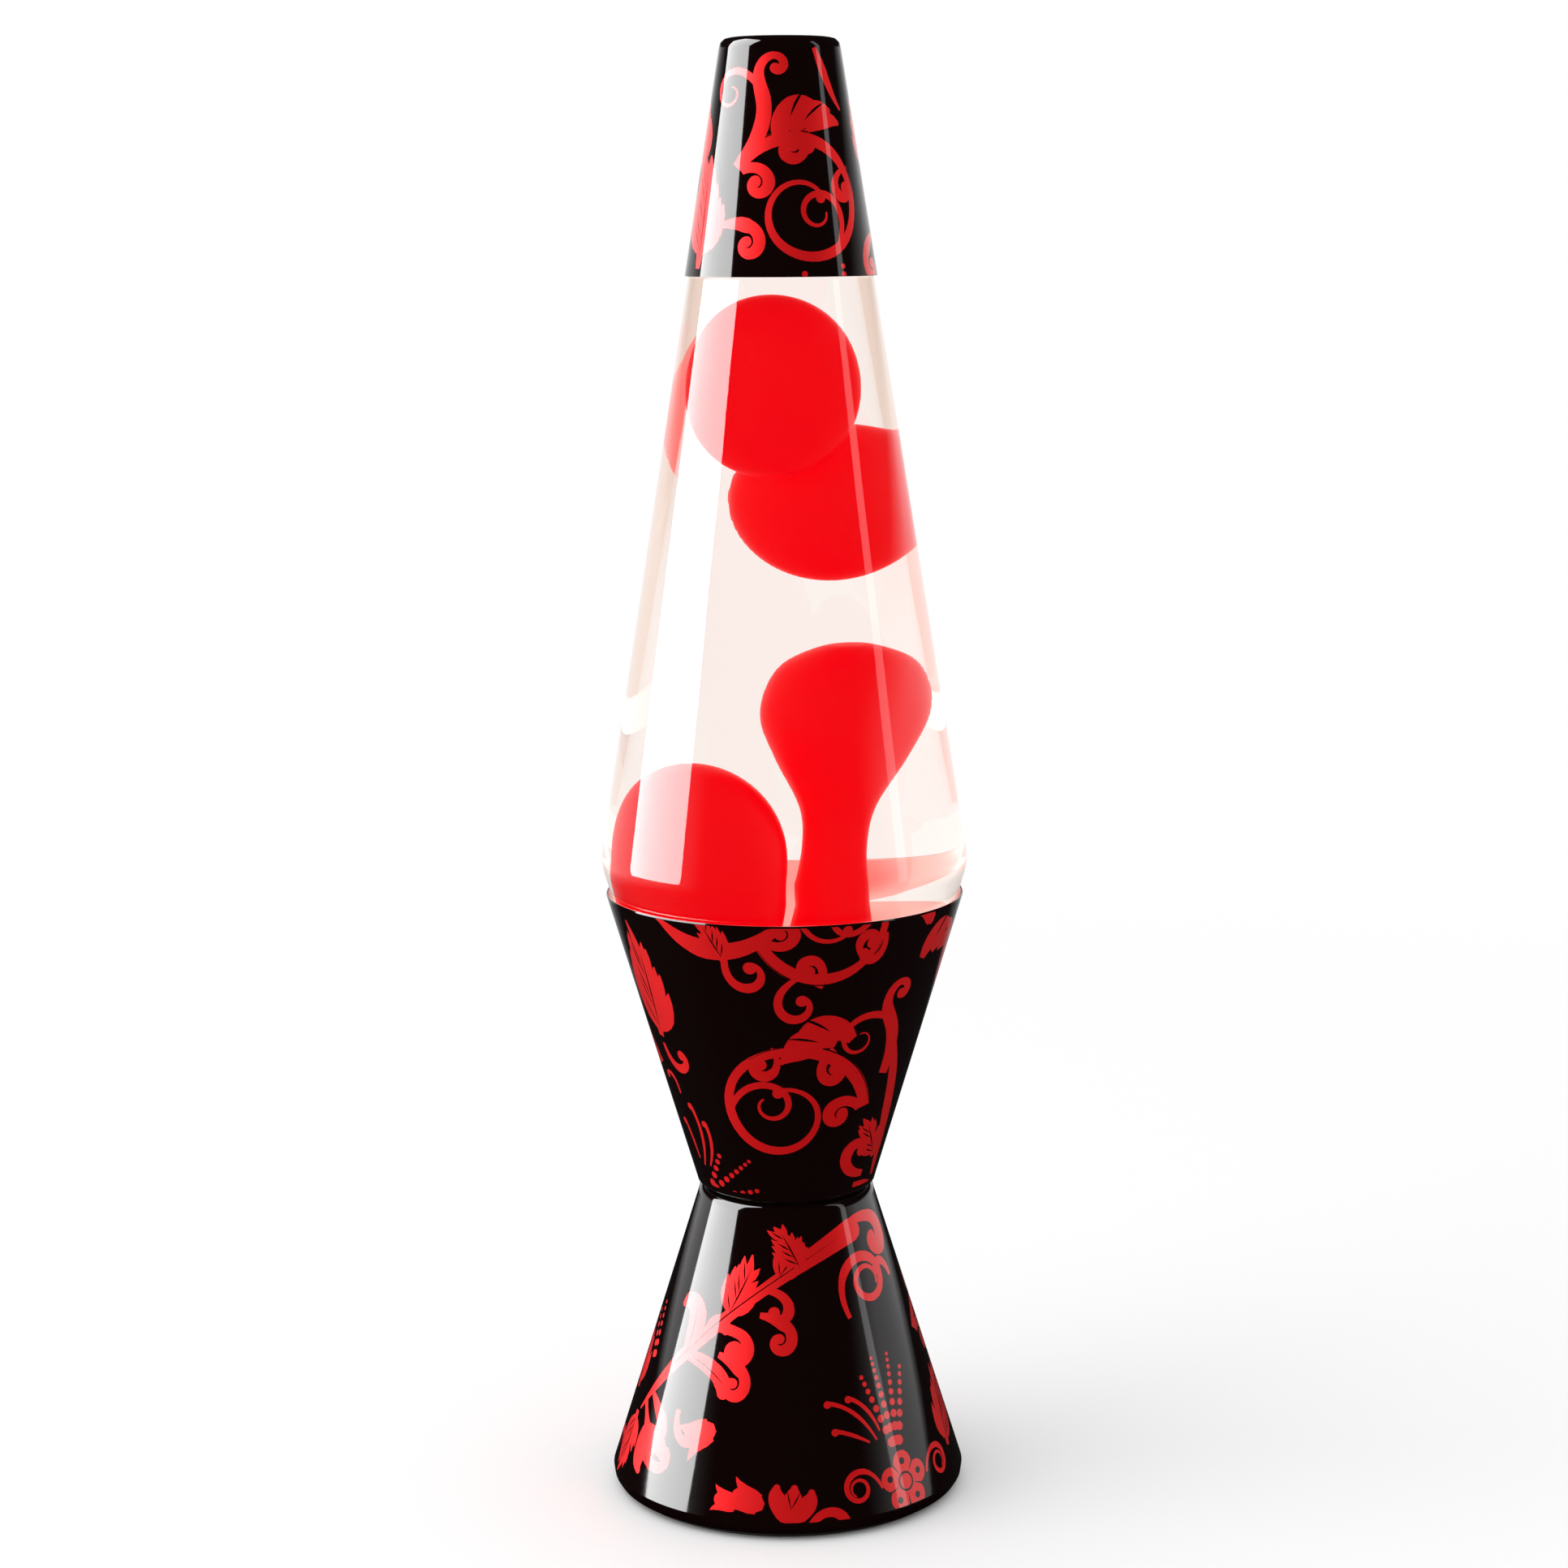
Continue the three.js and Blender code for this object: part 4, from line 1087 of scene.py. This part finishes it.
sleeve = [
    (3.2, -2.6), (3.7, -3.2), (5.6, -3.2), (6.2, -2.7), (6.2, -1.7), (4.5, -1.7), (4.5, 1.3), (6.2, 1.3),
    (5.4, 2.8), (3.6, 2.8), (3.2, 2.4),
]
bm = bmesh.new()
spun(bm, in_mm(sleeve), True, 48)
FOOT_SLOPE = 0.3129
FOOT_TOP = (22.59, 78)
HALF_WALL = 0.4
lean = math.atan(FOOT_SLOPE)
wall = (FOOT_TOP[0] - FOOT_SLOPE * (INLET_UP - FOOT_TOP[1]) - HALF_WALL) * MM
into_wall = Matrix.Translation((0, wall, INLET_UP * MM)) @ Matrix.Rotation(lean - math.pi / 2, 4, "X")
bmesh.ops.transform(bm, matrix=into_wall, verts=bm.verts)
finished(piece_of("grommet_sleeve", bm), foot_rubber, "base", "cord_grommet")


# ---------------------------------------------------------------- lamp holder on its stem
# A glazed porcelain lamp holder stands on a threaded steel pipe. Its shell and spring contact are brass, and
# the two wires go under a brass and a steel screw in pockets on its sides.

plated_steel = metal("plated_steel", (0.62, 0.63, 0.65), 0.32, 120)
porcelain = matt("porcelain", (0.82, 0.79, 0.72), 0.18, 60, 0.02, Coat_Weight=0.6, Coat_Roughness=0.08)
BULB_PITCH = 2.83 * MM
HOLDER_AXIS = 40 * MM


def rounded_over(node, steep, offset):
    """The CAD node's own shape, with its steep edges rounded over."""
    bm = bmesh.new()
    bm.from_mesh(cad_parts[node].data)
    bmesh.ops.remove_doubles(bm, verts=bm.verts, dist=1e-6)
    bmesh.ops.dissolve_limit(bm, angle_limit=math.radians(1), verts=bm.verts, edges=bm.edges)
    edges = [e for e in bm.edges if len(e.link_faces) == 2 and e.calc_face_angle(0) > math.radians(steep)]
    bmesh.ops.bevel(bm, geom=edges, offset=offset, segments=2, profile=0.5, affect="EDGES", material=-1)
    return bm


holder = bpy.data.objects.new("porcelain_holder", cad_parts["socket_body"].data.copy())
bpy.context.scene.collection.objects.link(holder)
bm = rounded_over("socket_body", 40, 0.35 * MM)
bm.to_mesh(holder.data)
bm.free()
holder.data.shade_smooth()
holder.data.set_sharp_from_angle(angle=SHARP_EDGE)
finished(holder, porcelain, "base", "socket_body")

bm = bmesh.new()
spun(bm, stepped(outline_of("socket_shell")[0], 42 * MM, 60 * MM, 0.35 * MM), True, 64)
for v in bm.verts:
    below_end = min(1, max(0, (57 * MM - v.co.z) / BULB_PITCH))
    above_start = min(1, max(0, (v.co.z - 43 * MM) / BULB_PITCH))
    swell = 0.2 * MM * below_end * above_start
    turn = math.atan2(v.co.y, v.co.x)
    wave = 0.5 + 0.5 * math.cos(WHOLE_TURN * v.co.z / BULB_PITCH - turn)
    scale = 1 + swell * wave / math.hypot(v.co.x, v.co.y)
    v.co.x, v.co.y = v.co.x * scale, v.co.y * scale
finished(piece_of("screw_shell", bm), brass, "base", "socket_shell")

spring_contact = piece_of("spring_contact", rounded_over("socket_contact", 20, 0.08 * MM))
finished(spring_contact, brass, "base", "socket_contact")

for side, node, material, slot in (
    (-1, "terminal_screw_left", brass, "brass_hardware"),
    (1, "terminal_screw_right", plated_steel, "plated_steel"),
):
    bm = bmesh.new()
    head = [(0, 0), (2.5, 0), (2.6, 0.15), (2.6, 1.1), (2.2, 1.6), (1.4, 1.8), (0, 1.8)]
    spun(bm, in_mm(head), False, 32)
    turn = Matrix.Rotation(side * math.pi / 2, 4, "Y")
    root = Vector((side * 11.5 * MM, 0, HOLDER_AXIS))
    bmesh.ops.transform(bm, matrix=Matrix.Translation(root) @ turn, verts=bm.verts)
    screw = piece_of(f"{node}_head", bm)
    slot_cut = bmesh.new()
    bmesh.ops.create_cube(slot_cut, size=1)
    slot_place = Matrix.Translation(root + Vector((side * 1.8 * MM, 0, 0)))
    slot_size = Matrix.Diagonal((1.3 * MM, 6 * MM, 0.7 * MM, 1))
    bmesh.ops.transform(slot_cut, matrix=slot_place @ slot_size, verts=slot_cut.verts)
    cut_away(screw, piece_of("slot", slot_cut))
    finished(screw, material, "base", node)

bm = bmesh.new()
spun(bm, stepped(outline_of("stem_pipe")[0], 1 * MM, 35 * MM, 0.25 * MM), True, 48)
threaded(bm, 1.4 * MM, 34.4 * MM, THREAD, 0.22 * MM, least=4.2 * MM)
finished(piece_of("threaded_pipe", bm), plated_steel, "base", "stem_pipe")

washer = [(4.9, 6.7), (9.3, 6.7), (9.5, 6.9), (9.5, 7.3), (9.3, 7.5), (4.9, 7.5)]
washer = turned("flat_washer", in_mm(washer), True, 48)
finished(washer, plated_steel, "base", "stem_washer")

HALF_FLATS, NUT_BORE = 7 * MM, 4.9 * MM
NUT_TIP = 2 * HALF_FLATS / math.sqrt(3)
EASED_TIP, EASED_BORE = 0.5 * MM, 0.3 * MM
for node in ("stem_nut_upper", "stem_nut_lower", "socket_lock_nut"):
    low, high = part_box(node)
    bm = bmesh.new()
    profile = [
        (NUT_BORE + EASED_BORE, low[2]), (HALF_FLATS, low[2]),
        (NUT_TIP, low[2] + EASED_TIP), (NUT_TIP, high[2] - EASED_TIP),
        (HALF_FLATS, high[2]), (NUT_BORE + EASED_BORE, high[2]),
        (NUT_BORE, high[2] - EASED_BORE), (NUT_BORE, low[2] + EASED_BORE),
    ]
    spun(bm, profile, True, 72)
    for v in bm.verts:
        turn = (math.atan2(v.co.y, v.co.x) + math.pi / 6) % (math.pi / 3) - math.pi / 6
        turn = math.pi / 6 - abs(turn)
        flat_radius = HALF_FLATS / math.cos(turn)
        radius = math.hypot(v.co.x, v.co.y)
        if radius > flat_radius:
            v.co.x, v.co.y = v.co.x * flat_radius / radius, v.co.y * flat_radius / radius
    finished(piece_of(f"{node}_hex", bm), plated_steel, "base", node)


# ---------------------------------------------------------------- bulb
# A small clear tungsten lamp with a rolled screw shell. Its bead of solder, black glass insulator, glass stem
# and curved filament on two wires are what makes it an ordinary lamp.

bulb_aluminium = metal("bulb_aluminium", (0.8, 0.8, 0.81), 0.3, 140)
clear_bulb = glass("bulb_glass", 1)

envelope = turned("bulb_envelope", *outline_of("bulb_glass"), steps=64)
finished(envelope, clear_bulb, "bulb", "bulb_glass")

bm = bmesh.new()
spun(bm, stepped(outline_of("bulb_shell")[0], 44 * MM, 57 * MM, 0.35 * MM), True, 64)
threaded(bm, 44.4 * MM, 56 * MM, BULB_PITCH, 0.45 * MM, least=7.6 * MM)
finished(piece_of("rolled_shell", bm), bulb_aluminium, "bulb", "bulb_shell")

insulator = turned("glass_insulator", *outline_of("bulb_insulator"), steps=48)
black_glass = matt("black_glass", (0.012, 0.012, 0.014), 0.15, 100, 0.01)
finished(insulator, black_glass, "bulb", "bulb_insulator")

solder = [(0, 40.5), (1.2, 40.56), (1.9, 40.75), (2.3, 41.05), (2.5, 41.5), (2.5, 43.1), (0, 43.1)]
solder = turned("solder_bead", in_mm(solder), steps=32)
contact_solder = metal("contact_solder", (0.55, 0.56, 0.57), 0.4, 300)
finished(solder, contact_solder, "bulb_tip", "bulb_contact")

mount = turned("glass_stem", *outline_of("bulb_stem"), steps=48)
finished(mount, clear_bulb, "bulb", "bulb_stem")

arch = eased(((-7.6, 0, 86), (-4.25, 3.4, 86.6), (0, 4.6, 86.8), (4.25, 3.4, 86.6), (7.6, 0, 86)), 30)
winding = []
for i, (x, y, z) in enumerate(arch):
    for k in range(4):
        onward = arch[min(i + 1, len(arch) - 1)]
        part = k / 4
        turn = WHOLE_TURN * k / 4 + i * 0.4
        core = [a + (b - a) * part for a, b in zip((x, y, z), onward)]
        off_core = (0, 0.24 * math.cos(turn), 0.24 * math.sin(turn))
        winding.append(tuple((a + b) * MM for a, b in zip(core, off_core)))
filament = wire("wound_filament", winding, 0.07 * MM, 4)
filament_wire = metal("filament_wire", (0.3, 0.3, 0.31), 0.4, 400)
finished(filament, filament_wire, "bulb", "bulb_filament")

lead_wire = metal("lead_wire", (0.55, 0.5, 0.45), 0.35, 300)
for side, node in ((-1, "bulb_lead_left"), (1, "bulb_lead_right")):
    route = eased([(side * x, 0, z) for x, z in ((1.6, 72.1), (3.4, 77), (7.9, 82), (8.5, 87))], 6)
    lead = wire(f"{node}_wire", [(x * MM, y * MM, z * MM) for x, y, z in route], 0.3 * MM)
    finished(lead, lead_wire, "bulb", node)


# ---------------------------------------------------------------- camera and studio
# A long lens looks slightly down on the lamp. It stands on a white sheet that runs out to white all round,
# with a wide softbox on its left, a narrow one on its right, and black flags that keep the enamel dark.
# The flags are no objects: they only dim what mirrored rays see of the floor and the background.

CAMERA_DISTANCE = 0.828
CAMERA_HEIGHT = 0.326
CAMERA_PITCH = math.radians(9.75)
CAMERA_ROLL = math.radians(0.33)
CAMERA_LENS = 76.2

camera = bpy.data.objects.new("camera", bpy.data.cameras.new("camera"))
camera.data.lens = CAMERA_LENS
camera.data.clip_end = 20
camera.location = (0, -CAMERA_DISTANCE, CAMERA_HEIGHT)
tilt = Matrix.Rotation(math.pi / 2 - CAMERA_PITCH, 3, "X") @ Matrix.Rotation(-CAMERA_ROLL, 3, "Z")
camera.rotation_euler = tilt.to_euler()
bpy.context.scene.collection.objects.link(camera)
bpy.context.scene.camera = camera


def softbox(name, width, height, place, brightness, seen_in):
    """A softbox that aims at the lamp. It shows in reflections, or lights matt surfaces, or both."""
    light = bpy.data.lights.new(name, "AREA")
    light.shape, light.size, light.size_y = "RECTANGLE", width, height
    light.energy = brightness * math.pi * width * height
    box = bpy.data.objects.new(name, light)
    box.location = place
    box.rotation_euler = (Vector(place) - Vector((0, 0, 0.18))).to_track_quat("Z", "Y").to_euler()
    box.visible_camera = box.visible_transmission = False
    box.visible_diffuse = "diffuse" in seen_in
    box.visible_glossy = "glossy" in seen_in
    bpy.context.scene.collection.objects.link(box)


softbox("left_softbox", 0.76, 1.6, (-0.80, -0.03, 0.5), 12, "glossy")
softbox("right_softbox", 0.12, 1.2, (0.85, -0.2, 0.45), 1.8, "glossy")
softbox("fill", 0.85, 1.6, (-0.80, -0.3, 0.7), 1.2, "diffuse")

floor_mesh = bpy.data.meshes.new("floor")
bm = bmesh.new()
bmesh.ops.create_grid(bm, x_segments=1, y_segments=1, size=4)
bm.to_mesh(floor_mesh)
bm.free()
floor = bpy.data.objects.new("floor", floor_mesh)
bpy.context.scene.collection.objects.link(floor)


def mirror_ray(tree):
    """1 for a ray that was mirrored off a surface, 0 for one that comes from the camera or through glass."""
    path = tree.nodes.new("ShaderNodeLightPath")
    through_glass = Socket(tree, path.outputs["Is Transmission Ray"])
    return Socket(tree, path.outputs["Is Glossy Ray"]) * (1 - through_glass)


def in_front(along):
    """Dims what lies on the camera's side of the lamp, where a black flag stands. Takes the direction's Y."""
    return (along * 0.5 + 0.5).steps((0.2, 0.012), (0.42, 1))


def floor_finish():
    """White paper that turns into the background far out, and looks dark near the lamp in reflections."""
    material = bpy.data.materials.new("floor_finish")
    material.use_nodes = True
    tree = material.node_tree
    place = Socket(tree, tree.nodes.new("ShaderNodeTexCoord").outputs["Object"])
    mirror = mirror_ray(tree)
    metres_out = place.node("ShaderNodeVectorMath", {0: place}, output=1, operation="LENGTH")
    paper = place.node("ShaderNodeBsdfDiffuse", {"Color": (0.9, 0.9, 0.9, 1)})
    white = place.node("ShaderNodeEmission", {"Strength": 1.0})
    outwards = (metres_out * 0.5).steps((0.08, 0), (0.4, 1))
    fading = place.node("ShaderNodeMixShader", {0: outwards, 1: paper, 2: white})
    along = place.node("ShaderNodeSeparateXYZ", {0: place}, output=1).maths("DIVIDE", metres_out)
    far = (metres_out * 0.5).steps((0.2, 0.012), (0.42, 1))
    mirrored = place.node("ShaderNodeEmission", {"Strength": far * in_front(along)})
    sheet = place.node("ShaderNodeMixShader", {0: mirror, 1: fading, 2: mirrored})
    tree.links.new(sheet.socket, tree.nodes["Material Output"].inputs["Surface"])
    return material


floor.data.materials.append(floor_finish())

world = bpy.data.worlds.new("studio")
bpy.context.scene.world = world
world.use_nodes = True
tree = world.node_tree
way = Socket(tree, tree.nodes.new("ShaderNodeTexCoord").outputs["Generated"])
rise = way.node("ShaderNodeSeparateXYZ", {0: way}, output=2)
along = way.node("ShaderNodeSeparateXYZ", {0: way}, output=1)
flagged = rise.steps((0.1, 1), (0.2, 0.012)) * in_front(along)
level = mirror_ray(tree) * (flagged - 1) + 1
tree.links.new(level.socket, tree.nodes["Background"].inputs["Strength"])
tree.nodes["Background"].inputs["Color"].default_value = (1, 1, 1, 1)
bpy.context.scene.view_settings.view_transform = "Standard"
